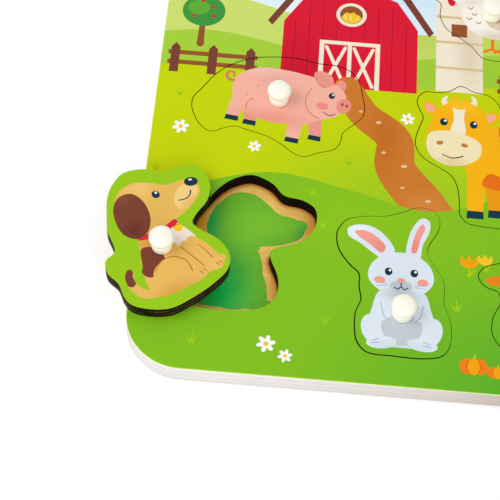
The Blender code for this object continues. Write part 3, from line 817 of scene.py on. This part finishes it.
INKS = {
    "sky": (206, 234, 250), "sun_ring": (254, 240, 176), "sun": (251, 208, 44), "white": (252, 252, 250),
    "far_hill": (206, 224, 112), "hill": (166, 209, 60), "lime": (197, 214, 0), "meadow": (129, 191, 30),
    "bright_meadow": (152, 201, 26), "meadow_dark": (96, 172, 52), "tree_green": (62, 150, 62),
    "brown": (150, 84, 44), "beam": (122, 64, 47), "red": (222, 24, 52), "dark_red": (176, 14, 44),
    "cream": (246, 235, 212), "sand": (222, 196, 148), "corn_yellow": (250, 200, 36), "mud": (206, 122, 44),
    "water": (112, 196, 226), "ripple": (206, 236, 246), "bank": (112, 178, 60), "leaf": (168, 206, 6),
    "orange": (240, 128, 22), "carrot": (243, 164, 12), "dark_orange": (206, 98, 14),
    "lime_line": (166, 210, 16), "grass_line": (140, 190, 14), "night": (20, 53, 68),
    "blush": (244, 163, 144), "collar": (222, 40, 58), "dog_fur": (232, 185, 93), "dog_ear": (122, 64, 47),
    "dog_line": (190, 112, 32), "dog_chest": (244, 226, 214), "dog_muzzle": (244, 208, 132),
    "rabbit_fur": (222, 233, 243), "rabbit_belly": (194, 204, 212), "rabbit_pink": (245, 160, 146),
    "rabbit_line": (168, 182, 194), "pig_skin": (247, 180, 162), "pig_shade": (236, 152, 136),
    "pig_snout": (238, 146, 130), "pig_line": (216, 120, 108), "pig_cheek": (242, 140, 132),
    "pig_nostril": (166, 76, 72), "cow_coat": (249, 182, 14), "cow_shade": (236, 156, 10),
    "cow_patch": (232, 112, 20), "cow_line": (206, 112, 14), "cow_muzzle": (244, 230, 184),
    "cow_nostril": (196, 128, 60), "cow_udder": (246, 176, 150), "duck_down": (252, 212, 40),
    "duck_wing": (246, 184, 20), "duck_bill": (240, 130, 26), "duck_line": (216, 130, 10),
    "fleece": (247, 243, 234), "fleece_line": (204, 196, 186), "sheep_face": (104, 78, 70),
    "sheep_leg_far": (84, 62, 56), "sheep_line": (64, 44, 40), "horse_coat": (190, 116, 64),
    "horse_shade": (160, 92, 48), "horse_line": (130, 70, 34), "horse_muzzle": (228, 184, 140),
    "mane": (84, 48, 34), "hen_body": (250, 246, 238), "hen_wing": (224, 206, 184),
    "hen_tail": (206, 150, 96), "hen_line": (180, 140, 104), "recess_green": (112, 188, 48),
}

# Soft spots, printed airbrush shading except the painted light and shade noted below: whose knob
# it is measured from, then x, y, half width, half height in millimetres, colour and strength
AIRBRUSH_AND_PAINTED_LIGHT = {
    "sky": (None, (-110, 60, 150, 30, (240, 249, 254), 0.8), (80, 60, 150, 26, (240, 249, 254), 0.8)),
    "far_hill": (None, (-20, 52, 120, 16, (186, 214, 84), 0.7)),
    "hill": (None, (30, 36, 130, 14, (150, 200, 44), 0.7)),
    "lime": (None, (-40, -30, 90, 42, (150, 200, 30), 0.85), (110, -26, 80, 34, (150, 200, 30), 0.85),
        (-156, 20, 40, 44, (198, 217, 0), 0.9)),
    "meadow": (None, (40, -118, 150, 80, (78, 170, 42), 1), (-60, -40, 60, 30, (142, 197, 26), 0.8)),
    "mud": (None, (-54, 0, 12, 30, (188, 100, 26), 0.6), (-36, -34, 16, 14, (218, 140, 62), 0.7)),
    "water": (None, (30, -84, 20, 14, (150, 214, 236), 0.9), (4, -98, 20, 12, (84, 174, 214), 0.8)),
    "red": (None, (-90, 32, 24, 30, (196, 12, 44), 0.6)),
    "cream": (None, (-18, 50, 10, 34, (226, 208, 176), 0.8)),
    "beam": (None, (-70, 88, 30, 10, (146, 84, 60), 0.7)),
    "dog_fur": ("dog", (0, 4, 13, 6.5, (206, 140, 52), 0.85), (-8, -20, 14, 7, (214, 156, 66), 0.75),
        (8, 27, 10, 7, (242, 200, 116), 0.8), (12, -19, 6, 4, (240, 196, 112), 0.6)),
    "dog_ear": ("dog", (-5, 12, 7, 6, (98, 46, 34), 0.7), (0, 27, 6, 5, (142, 80, 58), 0.6)),
    "dog_muzzle": ("dog", (21, 10, 8, 4, (232, 180, 96), 0.8)),
    "rabbit_fur": ("rabbit", (0, 8.5, 13, 4, (194, 205, 214), 0.9),
        (-18, 36, 8, 6, (240, 246, 251), 0.8), (0, -15, 18, 5, (204, 214, 224), 0.8)),
    "rabbit_belly": ("rabbit", (0, -1, 8, 5, (212, 220, 228), 0.8)),
    "rabbit_pink": ("rabbit", (4, 30, 6, 7, (232, 136, 124), 0.7), (-9, 29, 6, 5, (232, 136, 124), 0.7)),
    "pig_skin": ("pig", (-4, -10, 26, 8, (236, 150, 134), 0.85), (-6, 16, 20, 6, (252, 202, 186), 0.7)),
    "cow_coat": ("cow", (8, -9, 28, 8, (238, 142, 8), 0.85), (-22, 29, 12, 6, (252, 200, 40), 0.7),
        (20, 20, 16, 6, (252, 200, 40), 0.6)),
    "cow_patch": ("cow", (24, -2, 10, 6, (214, 90, 14), 0.7)),
    "cow_muzzle": ("cow", (-26, 0, 12, 5, (228, 206, 150), 0.8)),
    "duck_down": ("duck", (2, -18, 20, 6, (238, 176, 14), 0.85), (-8, 5, 8, 4, (240, 184, 18), 0.8)),
    "duck_wing": ("duck", (4, -11, 12, 5, (232, 150, 10), 0.8)),
    "fleece": ("sheep", (2, -10, 26, 8, (214, 206, 196), 0.9), (-16, 4, 7, 12, (222, 214, 204), 0.7)),
    "sheep_face": ("sheep", (-26, 12, 8, 5, (126, 98, 88), 0.7)),
    "horse_coat": ("horse", (6, -12, 28, 7, (160, 90, 46), 0.85), (-12, 12, 9, 8, (168, 98, 52), 0.6),
        (8, 12, 20, 5, (208, 138, 84), 0.7)),
    "mane": ("horse", (-8, 26, 8, 8, (112, 66, 46), 0.7)),
    "hen_body": ("hen", (3, -12, 16, 6, (222, 208, 190), 0.9), (-9, 7, 7, 4, (230, 218, 204), 0.7)),
    "hen_tail": ("hen", (19, 2, 6, 7, (170, 112, 66), 0.8)),
    # Teal at the figure's left and lower left: printed shading and painted shade of the lying dog piece
    "recess_green": ("dog", (-3, -14, 20, 27, (20, 212, 92), 1), (14, 18, 22, 13, (126, 196, 48), 0.9),
        (-9, 16, 8, 16, (22, 190, 84), 0.9), (30, 14, 7, 9, (40, 168, 70), 0.8)),
    # Painted shade: the board's edge darker towards the right, where the light falls off
    "board_edge": (None, (80, -112, 200, 120, (190, 173, 161), 0.9),
        (24, -112, 60, 120, (172, 154, 142), 0.6)),
    # Painted light: warm golden patches by the dog's neck, where the lying dog piece shades the recess
    # floor
    "recess_wood": ("dog", (-11.5, 16.5, 9, 11, (255, 186, 44), 0.9),
        (32, 17, 8, 13, (236, 158, 50), 0.9), (20, -12, 7, 10, (240, 164, 70), 0.8)),
    "scorch_pale": ("dog", (-12, 16.5, 9, 11, (255, 172, 34), 0.9)),
    "scorch": ("dog", (-13, 16.5, 9, 11, (246, 152, 30), 0.9)),
}

# Noises: patches a metre, detail, roughness, and how the coordinates are stretched
NOISES = {
    "mottle": (900, 3, 0.5, None),
    "grain": (1500, 4, 0.6, (0.05, 1, 1)),
    "drift": (60, 3, 0.5, (1, 1, 0.2)),
    "fibre": (500, 4, 0.6, (0.25, 0.25, 6)),
    "blotch": (45, 3, 0.5, None),
    "worn": (700, 3, 0.6, None),
    "soot": (320, 4, 0.6, None),
    "glue_shown": (170, 2, 0.5, None),
    "streak": (2200, 3, 0.5, (1, 1, 0.08)),
    "figure": (130, 4, 0.6, None),
    "pores": (2600, 3, 0.6, (0.03, 1, 1)),
    "flecks": (800, 4, 0.7, None),
    "scorched": (150, 2, 0.5, None),
    "turned": (900, 4, 0.6, (1, 1, 0.1)),
    "soft": (160, 2, 0.5, None),
}
# How the figure of the wood is stretched, and the waves of its growth lines
ALONG_GRAIN = (0.07, 1, 1)
GROWTH_WAVE = {"Scale": 42, "Distortion": 7, "Detail": 3, "Detail Scale": 1.2}

# What a share can be, whole or mostly, and the spans of the noises and waves that have an effect
WHOLE = (0, 1)
MOSTLY = (0.1, 1)
TINT_SPAN = (0.25, 0.75)
MIDDLE_SPAN = (0.3, 0.7)
DRIFT_SPAN = (0.2, 0.8)
GLUE_SPAN = (0.40, 0.58)
GROWTH_SPAN = (0.82, 1)
FLECK_SPAN = (0.54, 0.68)
SCORCH_SPAN = (0.44, 0.60)

# Kinds of finish: plain roughness, specular, roughness at its lowest and highest places, the relief's
# strength and depth in metres, the noises of the roughness and of the relief, and (noise, amount) tints
KINDS = {
    "ink": (0.5, 0.08, 0.44, 0.56, 0.12, 0.00002, "mottle", "grain", ("mottle", 0.012), ("grain", 0.012)),
    "board_edge": (0.6, 0.3, 0.52, 0.7, 0.25, 0.00008, "fibre", "fibre", ("fibre", 0.05),
        ("blotch", 0.03)),
    "print_edge": (0.5, 0.4, 0.45, 0.6, 0.15, 0.00003, "worn", "worn"),
    "char": (0.7, 0.08, 0.55, 0.8, 0.35, 0.0001, "soot", "streak", ("streak", 0.3), ("soot", 0.35)),
    "wood": (0.55, 0.35, 0.49, 0.63, 0.25, 0.00006, "pores", "pores", ("pores", 0.07)),
    "knob_lacquer": (0.35, 0.5, 0.32, 0.44, 0.12, 0.00004, "soft", "turned", ("soft", 0.012)),
}
LACQUER_COAT = 0.25
LACQUER_COAT_ROUGHNESS = 0.3

# Heights of the glue lines on the board's edge and in the burnt walls, in millimetres; half a line's
# height as a share of the board's; and how far the lines wander, in metres
EDGE_JOINTS = (0.9, 2.1, 3.2, 4.7, 6.2, 7.6)
EDGE_HALF_LINE = 0.014
CHAR_JOINTS = (5.3, 7.4)
CHAR_HALF_LINE = 0.022
PLY_WANDER = 0.00012

# The board's edge: two tones of ply, the glue lines, and the lowest ply, darker with painted contact shade
EDGE_TONES = ((240, 237, 233), (234, 230, 226), (208, 199, 193))
EDGE_FOOT_SHADED = (206, 197, 190)
# Where the print thins out over the edge, and the knobs' lacquer: darker and lighter colours
PRINT_EDGE_TONES = ((0.3, (214, 224, 112)), (0.7, (240, 240, 176)))
LACQUER_TONES = ((0.25, (254, 249, 231)), (0.75, (255, 254, 242)))
# Burnt walls of the pieces, and their darker copy with painted shade for the recesses: their own and their
# glue lines' colours
CHARS = {"char": ((17, 8, 7), (160, 112, 84)), "char_deep": ((7, 2, 1), (44, 24, 18))}
# Bare wood: darker, lighter and line colours, then how strongly growth lines and flecks show
WOODS = {
    "recess_wood": ((242, 188, 92), (255, 214, 118), (216, 150, 66), 0.2, 0.6),
    # Bands by the recess walls: darker towards the wall with scorch and painted shade
    "scorch_pale": ((228, 162, 62), (246, 188, 84), (196, 124, 40), 0.2, 0.7),
    "scorch": ((206, 134, 48), (230, 162, 66), (164, 96, 32), 0.2, 0.7),
    "scorch_dark": ((118, 68, 32), (158, 98, 50), (84, 48, 24), 0.2, 0.7),
    "underside": ((226, 200, 160), (238, 217, 182), (196, 160, 114), 0.45, 0),
}


# Materials

def linear(colour):
    """Scene-linear colour of an sRGB one from 0 to 255."""
    shares = np.array(colour) / 255.0
    curved = ((shares + 0.055) / 1.055) ** 2.4
    return (*(float(v) for v in np.where(shares <= 0.04045, shares / 12.92, curved)), 1.0)


def add_node(tree, kind, inputs=(), **settings):
    """Node with its settings, and its inputs given as values or as other nodes' outputs."""
    made = tree.nodes.new(kind)
    for key, value in settings.items():
        setattr(made, key, value)
    for key, value in dict(inputs).items():
        if isinstance(value, bpy.types.NodeSocket):
            tree.links.new(value, made.inputs[key])
        else:
            made.inputs[key].default_value = value
    return made


def maths(tree, operation, first, second):
    return add_node(tree, "ShaderNodeMath", {0: first, 1: second}, operation=operation).outputs[0]


def mix_colour(tree, factor, first, second, blend="MIX"):
    inputs = {0: factor, 6: first, 7: second}
    return add_node(tree, "ShaderNodeMix", inputs, data_type="RGBA", blend_type=blend).outputs[2]


def remap(tree, value, span, new_span, kind="LINEAR"):
    """Value taken from the one (low, high) span into the other, and held there."""
    inputs = {0: value, 1: span[0], 2: span[1], 3: new_span[0], 4: new_span[1]}
    return add_node(tree, "ShaderNodeMapRange", inputs, interpolation_type=kind).outputs[0]


def stretched(tree, coords, scale):
    return add_node(tree, "ShaderNodeMapping", {"Vector": coords, "Scale": scale}).outputs[0]


def noise(tree, coords, name):
    """The named noise, from 0 to 1."""
    scale, detail, roughness, stretch = NOISES[name]
    inputs = {"Vector": stretched(tree, coords, stretch) if stretch else coords, "Scale": scale,
        "Detail": detail, "Roughness": roughness}
    return add_node(tree, "ShaderNodeTexNoise", inputs).outputs[0]


def tinted(tree, colour, value, amount):
    """Colour made lighter and darker by the amount as the value goes from 0 to 1."""
    level = remap(tree, value, TINT_SPAN, (1 - amount, 1 + amount))
    shade = add_node(tree, "ShaderNodeCombineColor", {0: level, 1: level, 2: level}).outputs[0]
    return mix_colour(tree, 1, colour, shade, "MULTIPLY")


def picture_coords(tree, lying):
    """Object coordinates in metres, taken back to the recess for the piece that lies out of it."""
    coords = add_node(tree, "ShaderNodeTexCoord").outputs["Object"]
    if not lying:
        return coords
    back = recess_placement("dog").inverted()
    inputs = {"Vector": coords, "Location": back.to_translation(), "Rotation": back.to_euler()}
    return add_node(tree, "ShaderNodeMapping", inputs).outputs[0]


def airbrush_and_painted_light(tree, coords, name, colour):
    """Colour faded towards the own colour of every spot that the named finish has: printed airbrushing, and
    painted light and shade for a few finishes.
    """
    owner, *spots = AIRBRUSH_AND_PAINTED_LIGHT.get(name, (None,))
    place = knob_axis(owner) if owner else (0.0, 0.0)
    for x, y, half_width, half_height, spot_colour, strength in spots:
        inputs = {"Vector": coords, "Location": (place[0] + x * MM, place[1] + y * MM, 0),
            "Scale": (half_width * MM, half_height * MM, 1)}
        local = add_node(tree, "ShaderNodeMapping", inputs, vector_type="TEXTURE").outputs[0]
        away = add_node(tree, "ShaderNodeVectorMath", {0: local}, operation="LENGTH").outputs["Value"]
        share = remap(tree, away, WHOLE, (strength, 0), "SMOOTHSTEP")
        colour = mix_colour(tree, share, colour, linear(spot_colour))
    return colour


def ramp(tree, value, stops):
    """Colour from the value along (place, sRGB colour) stops."""
    made = add_node(tree, "ShaderNodeValToRGB", {0: value})
    elements = made.color_ramp.elements
    for element, (place, colour) in zip(elements, (stops[0], stops[-1])):
        element.position, element.color = place, linear(colour)
    for place, colour in stops[1:-1]:
        elements.new(place).color = linear(colour)
    return made.outputs[0]


def ply_stops(base, second, line, joints, half_line):
    """Ramp stops over the board's height: plies of two tones with a glue line at each joint."""
    stops = [(0.0, base)]
    for index, joint in enumerate(joints):
        tone, after = (base, second) if index % 2 == 0 else (second, base)
        place = joint * MM / PANEL_TOP
        stops += [(place - half_line, tone), (place, line), (place + half_line, after)]
    stops.append((1.0, after))
    return stops


def ply_height(tree, coords):
    """Height as a share of the board's thickness, wandering a little along the sheet."""
    height = add_node(tree, "ShaderNodeSeparateXYZ", {0: coords}).outputs[2]
    wander = remap(tree, noise(tree, coords, "drift"), DRIFT_SPAN, (-PLY_WANDER, PLY_WANDER))
    return maths(tree, "DIVIDE", maths(tree, "ADD", height, wander), PANEL_TOP)


def ink_colour(tree, coords, name):
    """Matt print on sanded wood."""
    return linear(INKS[name])


def board_edge_colour(tree, coords, name):
    """Sanded and sealed ply seen on its edge, the lowest ply darker with painted contact shade."""
    stops = ply_stops(*EDGE_TONES, EDGE_JOINTS, EDGE_HALF_LINE)
    stops[0] = (0.0, EDGE_FOOT_SHADED)
    return ramp(tree, ply_height(tree, coords), stops)


def print_edge_colour(tree, coords, name):
    """Where the print thins out over the board's rounded edge."""
    return ramp(tree, noise(tree, coords, "worn"), PRINT_EDGE_TONES)


def char_colour(tree, coords, name):
    """Wall burnt dark by the cut, with paler glue lines showing in places; darker still with painted shade
    in the recesses.
    """
    burnt, line = CHARS[name]
    lines = ramp(tree, ply_height(tree, coords), ply_stops(burnt, burnt, line, CHAR_JOINTS, CHAR_HALF_LINE))
    shown = remap(tree, noise(tree, coords, "glue_shown"), GLUE_SPAN, MOSTLY)
    return mix_colour(tree, shown, linear(burnt), lines)


def wood_colour(tree, coords, name):
    """Flat face of a veneer: long soft figure, growth lines along the grain, and burnt flecks."""
    dark, light, line, growth_share, fleck_share = WOODS[name]
    along = stretched(tree, coords, ALONG_GRAIN)
    wave = add_node(tree, "ShaderNodeTexWave", {"Vector": along, **GROWTH_WAVE},
        wave_type="BANDS", bands_direction="Y", wave_profile="SAW")
    growth = remap(tree, wave.outputs[1], GROWTH_SPAN, (0, growth_share))
    flecks = remap(tree, noise(tree, coords, "flecks"), FLECK_SPAN, (0, fleck_share))
    scorched = remap(tree, noise(tree, coords, "scorched"), SCORCH_SPAN, MOSTLY)
    colour = ramp(tree, noise(tree, along, "figure"), list(zip(MIDDLE_SPAN, (dark, light))))
    for share in (growth, maths(tree, "MULTIPLY", flecks, scorched)):
        colour = mix_colour(tree, share, colour, linear(line))
    return colour


def lacquer_colour(tree, coords, name):
    """Cream lacquer over turned wood, the grain upright and only just showing."""
    return ramp(tree, noise(tree, coords, "turned"), LACQUER_TONES)


COLOURS = {"ink": ink_colour, "board_edge": board_edge_colour, "print_edge": print_edge_colour,
    "char": char_colour, "wood": wood_colour, "knob_lacquer": lacquer_colour}


def kind_of(name):
    tables = {"ink": INKS, "char": CHARS, "wood": WOODS}
    return next((kind for kind, table in tables.items() if name in table), name)


def make_material(name, lying):
    """The named finish: its own colour, airbrushed, for a few finishes with painted light and shade, and
    tinted, with an uneven gloss and a small relief.
    """
    kind = kind_of(name)
    roughness, specular, lowest, highest, strength, depth, rough, relief, *tints = KINDS[kind]
    before, after = "ink_" if kind == "ink" else "", "_lying" if lying else ""
    material = bpy.data.materials.new(before + name + after)
    material.use_nodes = True
    tree = material.node_tree
    coords = picture_coords(tree, lying)
    noises = {key: noise(tree, coords, key) for key in dict.fromkeys((rough, relief, *dict(tints)))}
    colour = airbrush_and_painted_light(tree, coords, name, COLOURS[kind](tree, coords, name))
    for key, amount in tints:
        colour = tinted(tree, colour, noises[key], amount)
    bump = {"Height": noises[relief], "Strength": strength, "Distance": depth}
    shader = next(item for item in tree.nodes if item.type == "BSDF_PRINCIPLED")
    shader.inputs["Roughness"].default_value = roughness
    shader.inputs["Specular IOR Level"].default_value = specular
    if kind == "knob_lacquer":
        shader.inputs["Coat Weight"].default_value = LACQUER_COAT
        shader.inputs["Coat Roughness"].default_value = LACQUER_COAT_ROUGHNESS
    for key, value in (("Base Color", colour),
            ("Roughness", remap(tree, noises[rough], MIDDLE_SPAN, (lowest, highest))),
            ("Normal", add_node(tree, "ShaderNodeBump", bump).outputs[0])):
        tree.links.new(value, shader.inputs[key])
    return material


made_materials = {}


def material_of(name, lying=False):
    """The named material, made the first time that it is asked for."""
    key = (name, lying)
    if key not in made_materials:
        made_materials[key] = make_material(name, lying)
    return made_materials[key]


def palette(shapes, *others, lying=False):
    """Materials and slot numbers for the shapes' inks and the other named finishes."""
    names = list(dict.fromkeys([ink for ink, _ in shapes] + list(others)))
    return [material_of(name, lying) for name in names], {name: index for index, name in enumerate(names)}


# Building the pieces

# Bands of the recess floor from the wall inwards, darker towards the wall with scorch and painted shade:
# name and how far out each starts, in millimetres
RECESS_BANDS = (("scorch_dark", 0.2), ("scorch", -0.3), ("scorch_pale", -0.9), ("recess_wood", -1.6))
RECESS_FIGURE_SCALE = 1.05


def arc_sections(size, start_height, slots, side=1, rise=-1):
    """(distance, height, slot) sections that roll over a level edge into the wall."""
    angles = np.linspace(0.0, math.pi / 2, ARC_STEPS + 1)[1:]
    return [(side * size * math.sin(a), start_height + rise * size * (1 - math.cos(a)), slot)
        for a, slot in zip(angles, slots)]


def board_outline(inset):
    """Board's rounded rectangle, brought in by the inset, in metres."""
    low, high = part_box("top_panel")
    half_x, half_y = ((high[i] - low[i]) / 2 - CORNER_RADIUS for i in (0, 1))
    radius = CORNER_RADIUS - inset
    loop = []
    for corner, (sx, sy) in enumerate(((1, 1), (-1, 1), (-1, -1), (1, -1))):
        for step in range(CORNER_STEPS + 1):
            angle = math.pi / 2 * (corner + step / CORNER_STEPS)
            loop.append((sx * half_x + radius * math.cos(angle), sy * half_y + radius * math.sin(angle)))
    return np.array(loop)


def build_panel(cuts):
    """Printed top sheet with the eight sawn openings."""
    outline = board_outline(BOARD_ROUND)
    shapes = near_shapes(background(), outline)
    materials, slots = palette(shapes, "char_deep", "board_edge", "print_edge", "underside")
    bm = bmesh.new()
    rims = [offset_loop(cut, CUT_ROUND) for cut in cuts]
    outer, *holes = print_face(bm, outline, rims, shapes, PANEL_TOP, slots)
    bottom = BACKING_TOP + PANEL_SEAM
    # The recesses' walls take the burnt finish darkened with painted shade
    side, char = slots["board_edge"], slots["char_deep"]
    edge = arc_sections(BOARD_ROUND, PANEL_TOP, (None, slots["print_edge"], side))
    rim = arc_sections(CUT_ROUND, PANEL_TOP, (None, None, char), side=-1)
    lower = [extend_wall(bm, outer, edge + [(BOARD_ROUND, bottom, side)])]
    lower += [extend_wall(bm, hole, rim + [(-CUT_ROUND, bottom, char)]) for hole in holes]
    fill_rings(bm, lower, slots["underside"])
    finish_piece(bm, "farmyard_panel", "board", "top_panel", materials)


def recess_print(animal, cut):
    """Rim darkened by scorch and painted shade, bare wood and the animal's own shape in green, in
    millimetres.
    """
    x, y = (v / MM for v in knob_axis(animal))
    shapes = [(name, offset_loop(cut, reach * MM) / MM) for name, reach in RECESS_BANDS]
    for ink, loop in moved_all(FIGURES[animal](), x=x, y=y, scale=RECESS_FIGURE_SCALE):
        if not ink.endswith("_line") and ink not in ("bright_meadow", "water"):
            shapes.append(("recess_green", loop))
    return shapes


def build_backing(cuts):
    """Lower sheet, whose top shows as the floor of each recess."""
    outline = board_outline(0.0)
    shapes = [("underside", outline / MM)]
    for animal, cut in cuts.items():
        shapes += recess_print(animal, cut)
    materials, slots = palette(shapes, "board_edge")
    bm = bmesh.new()
    (outer,) = print_face(bm, outline, [], shapes, BACKING_TOP, slots)
    side = slots["board_edge"]
    edge = [(-BOARD_ROUND, 0.0, side)]
    for distance, height, _ in arc_sections(BOARD_ROUND, 0.0, (side,) * ARC_STEPS, rise=1):
        edge.insert(0, (distance - BOARD_ROUND, height, side))
    fill_rings(bm, [extend_wall(bm, outer, edge)], slots["underside"])
    finish_piece(bm, "recess_backing", "board", "backing_board", materials)


def build_piece(animal):
    """Lift-out piece: printed top, burnt walls, bare underside and a bored seat for the knob."""
    low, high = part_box("pig_piece")
    outline = offset_loop(piece_loop(animal), -CUT_ROUND) + LEAN.get(animal, (0.0, 0.0))
    x, y = knob_axis(animal)
    bore = ring_of(BORE_SIDES, TENON_RADIUS + TENON_CLEARANCE) + (x, y)
    figure = moved_all(FIGURES[animal](), x=x / MM, y=y / MM)
    shapes = near_shapes(background() + figure, outline)
    materials, slots = palette(shapes, "char", "underside", lying=animal == "dog")
    char, bare = slots["char"], slots["underside"]
    bm = bmesh.new()
    outer, hole = print_face(bm, outline, [bore], shapes, high[2], slots)
    edge = arc_sections(CUT_ROUND, high[2], (None, None, char))
    foot = arc_sections(CUT_ROUND, low[2], (char,) * ARC_STEPS, rise=1)
    lower = extend_wall(bm, outer, edge + foot[::-1] + [(0.0, low[2], char)])
    floor = extend_wall(bm, hole, [(0.0, high[2] - BORE_DEPTH, bare)])
    fill_rings(bm, [floor], bare)
    fill_rings(bm, [lower], bare)
    finish_piece(bm, animal + "_printed", animal, animal + "_piece", materials,
        recess_placement(animal))


def quarter(steps):
    """(sine, cosine) from 0 to 90 degrees."""
    angles = [math.pi / 2 * step / steps for step in range(steps + 1)]
    return [(math.sin(angle), math.cos(angle)) for angle in angles]


def knob_profile():
    """(radius, height over the seat) up the knob, from the tenon's end to the dome."""
    points = [(TENON_RADIUS - TENON_CHAMFER, -TENON_END), (TENON_RADIUS, TENON_CHAMFER - TENON_END),
        (TENON_RADIUS, 0.0)]
    points += [(COLLAR_RADIUS - COLLAR_ROUND * (1 - sine), COLLAR_ROUND * (1 - cosine))
        for sine, cosine in quarter(ROUND_STEPS)]
    points.append((COLLAR_RADIUS, COLLAR_HEIGHT))
    points += [(NECK_RADIUS + (COLLAR_RADIUS - NECK_RADIUS) * (1 - sine),
        COLLAR_HEIGHT + COLLAR_BLEND * (1 - cosine)) for sine, cosine in quarter(BLEND_STEPS)[1:]]
    points += [(NECK_RADIUS + (HEAD_RADIUS - NECK_RADIUS) * sine,
        HEAD_RING_HEIGHT - HEAD_UNDERCUT * cosine) for sine, cosine in quarter(BLEND_STEPS)]
    return points + [(HEAD_RADIUS * cosine ** HEAD_DOME_FULLNESS,
        HEAD_RING_HEIGHT + HEAD_DOME_HEIGHT * sine) for sine, cosine in quarter(DOME_STEPS)[1:-1]]


def build_knob(animal):
    """Turned knob standing on its collar over the piece."""
    node = animal + "_knob"
    crown_height = HEAD_RING_HEIGHT + HEAD_DOME_HEIGHT
    bm = bmesh.new()
    rings = [[bm.verts.new((x, y, height)) for x, y in ring_of(KNOB_SIDES, radius)]
        for radius, height in knob_profile()]
    for lower, upper in zip(rings, rings[1:]):
        skin(bm, lower, upper)
    bm.faces.new(rings[0][::-1])
    crown = bm.verts.new((0.0, 0.0, crown_height))
    for pair in sides_of(rings[-1]):
        bm.faces.new((*pair, crown))
    place = (*middle_of(node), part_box(node)[1][2] - crown_height)
    finish_piece(bm, animal + "_peg", animal, node, [material_of("knob_lacquer")],
        Matrix.Translation(place))


def build_puzzle():
    openings = [closed_curve(loop, LOOP_DETAIL) for loop in level_loops("top_panel", PANEL_TOP)[1:]]
    cuts = {}
    for animal in FIGURES:
        axis = np.array([knob_axis(animal)])
        cuts[animal] = next(loop for loop in openings if inside(axis, loop)[0])
    build_panel(list(cuts.values()))
    build_backing(cuts)
    for animal in FIGURES:
        build_piece(animal)
        build_knob(animal)


# Stage, lights and camera

def camera_share(tree):
    """1 for rays from the camera and for mirrored or refracted ones, otherwise 0."""
    path = add_node(tree, "ShaderNodeLightPath").outputs
    seen = maths(tree, "MAXIMUM", path["Is Camera Ray"], path["Is Glossy Ray"])
    return maths(tree, "MAXIMUM", seen, path["Is Transmission Ray"])


def emptied_tree(owner):
    """The owner's node tree, ready for new nodes."""
    owner.use_nodes = True
    owner.node_tree.nodes.clear()
    return owner.node_tree


def build_floor():
    """Plain white floor that keeps the puzzle's shadow."""
    material = bpy.data.materials.new("white_floor")
    tree = emptied_tree(material)
    matt = add_node(tree, "ShaderNodeBsdfDiffuse", {"Color": (FLOOR_WHITE, FLOOR_WHITE, FLOOR_WHITE, 1.0)})
    strength = maths(tree, "MULTIPLY", camera_share(tree), FLOOR_LIFT)
    glow = add_node(tree, "ShaderNodeEmission", {"Color": WHITE, "Strength": strength})
    both = add_node(tree, "ShaderNodeAddShader", {0: matt.outputs[0], 1: glow.outputs[0]})
    add_node(tree, "ShaderNodeOutputMaterial", {"Surface": both.outputs[0]})
    bm = bmesh.new()
    square = box_loop(-FLOOR_HALF, -FLOOR_HALF, FLOOR_HALF, FLOOR_HALF)
    bm.faces.new([bm.verts.new((x, y, 0.0)) for x, y in square])
    floor = mesh_object(bm, "floor", [material])


def build_world():
    world = bpy.data.worlds.new("studio")
    tree = emptied_tree(world)
    strength = remap(tree, camera_share(tree), WHOLE, (SKY_LEVEL, 1.0))
    glow = add_node(tree, "ShaderNodeBackground", {"Color": WHITE, "Strength": strength})
    add_node(tree, "ShaderNodeOutputWorld", {"Surface": glow.outputs[0]})
    bpy.context.scene.world = world


def add_softbox(name, place, size, watts):
    """Square area lamp turned to the middle of the board."""
    lamp = bpy.data.lights.new(name, "AREA")
    lamp.energy = watts
    lamp.size = size
    item = put_in_scene(name, lamp)
    item.location = place
    item.rotation_euler = Vector(place).to_track_quat("Z", "Y").to_euler()


def build_camera():
    lens = bpy.data.cameras.new("camera")
    lens.lens = CAMERA_LENS
    lens.sensor_width = SENSOR_WIDTH
    lens.clip_start = NEAREST_SEEN
    camera = put_in_scene("camera", lens)
    camera.location = CAMERA_PLACE
    camera.rotation_euler = [math.radians(angle) for angle in CAMERA_TURN]
    bpy.context.scene.camera = camera


build_puzzle()
build_floor()
build_world()
for softbox in SOFTBOXES:
    add_softbox(*softbox)
build_camera()
bpy.context.scene.view_settings.view_transform = "Standard"

bpy.context.view_layer.update()
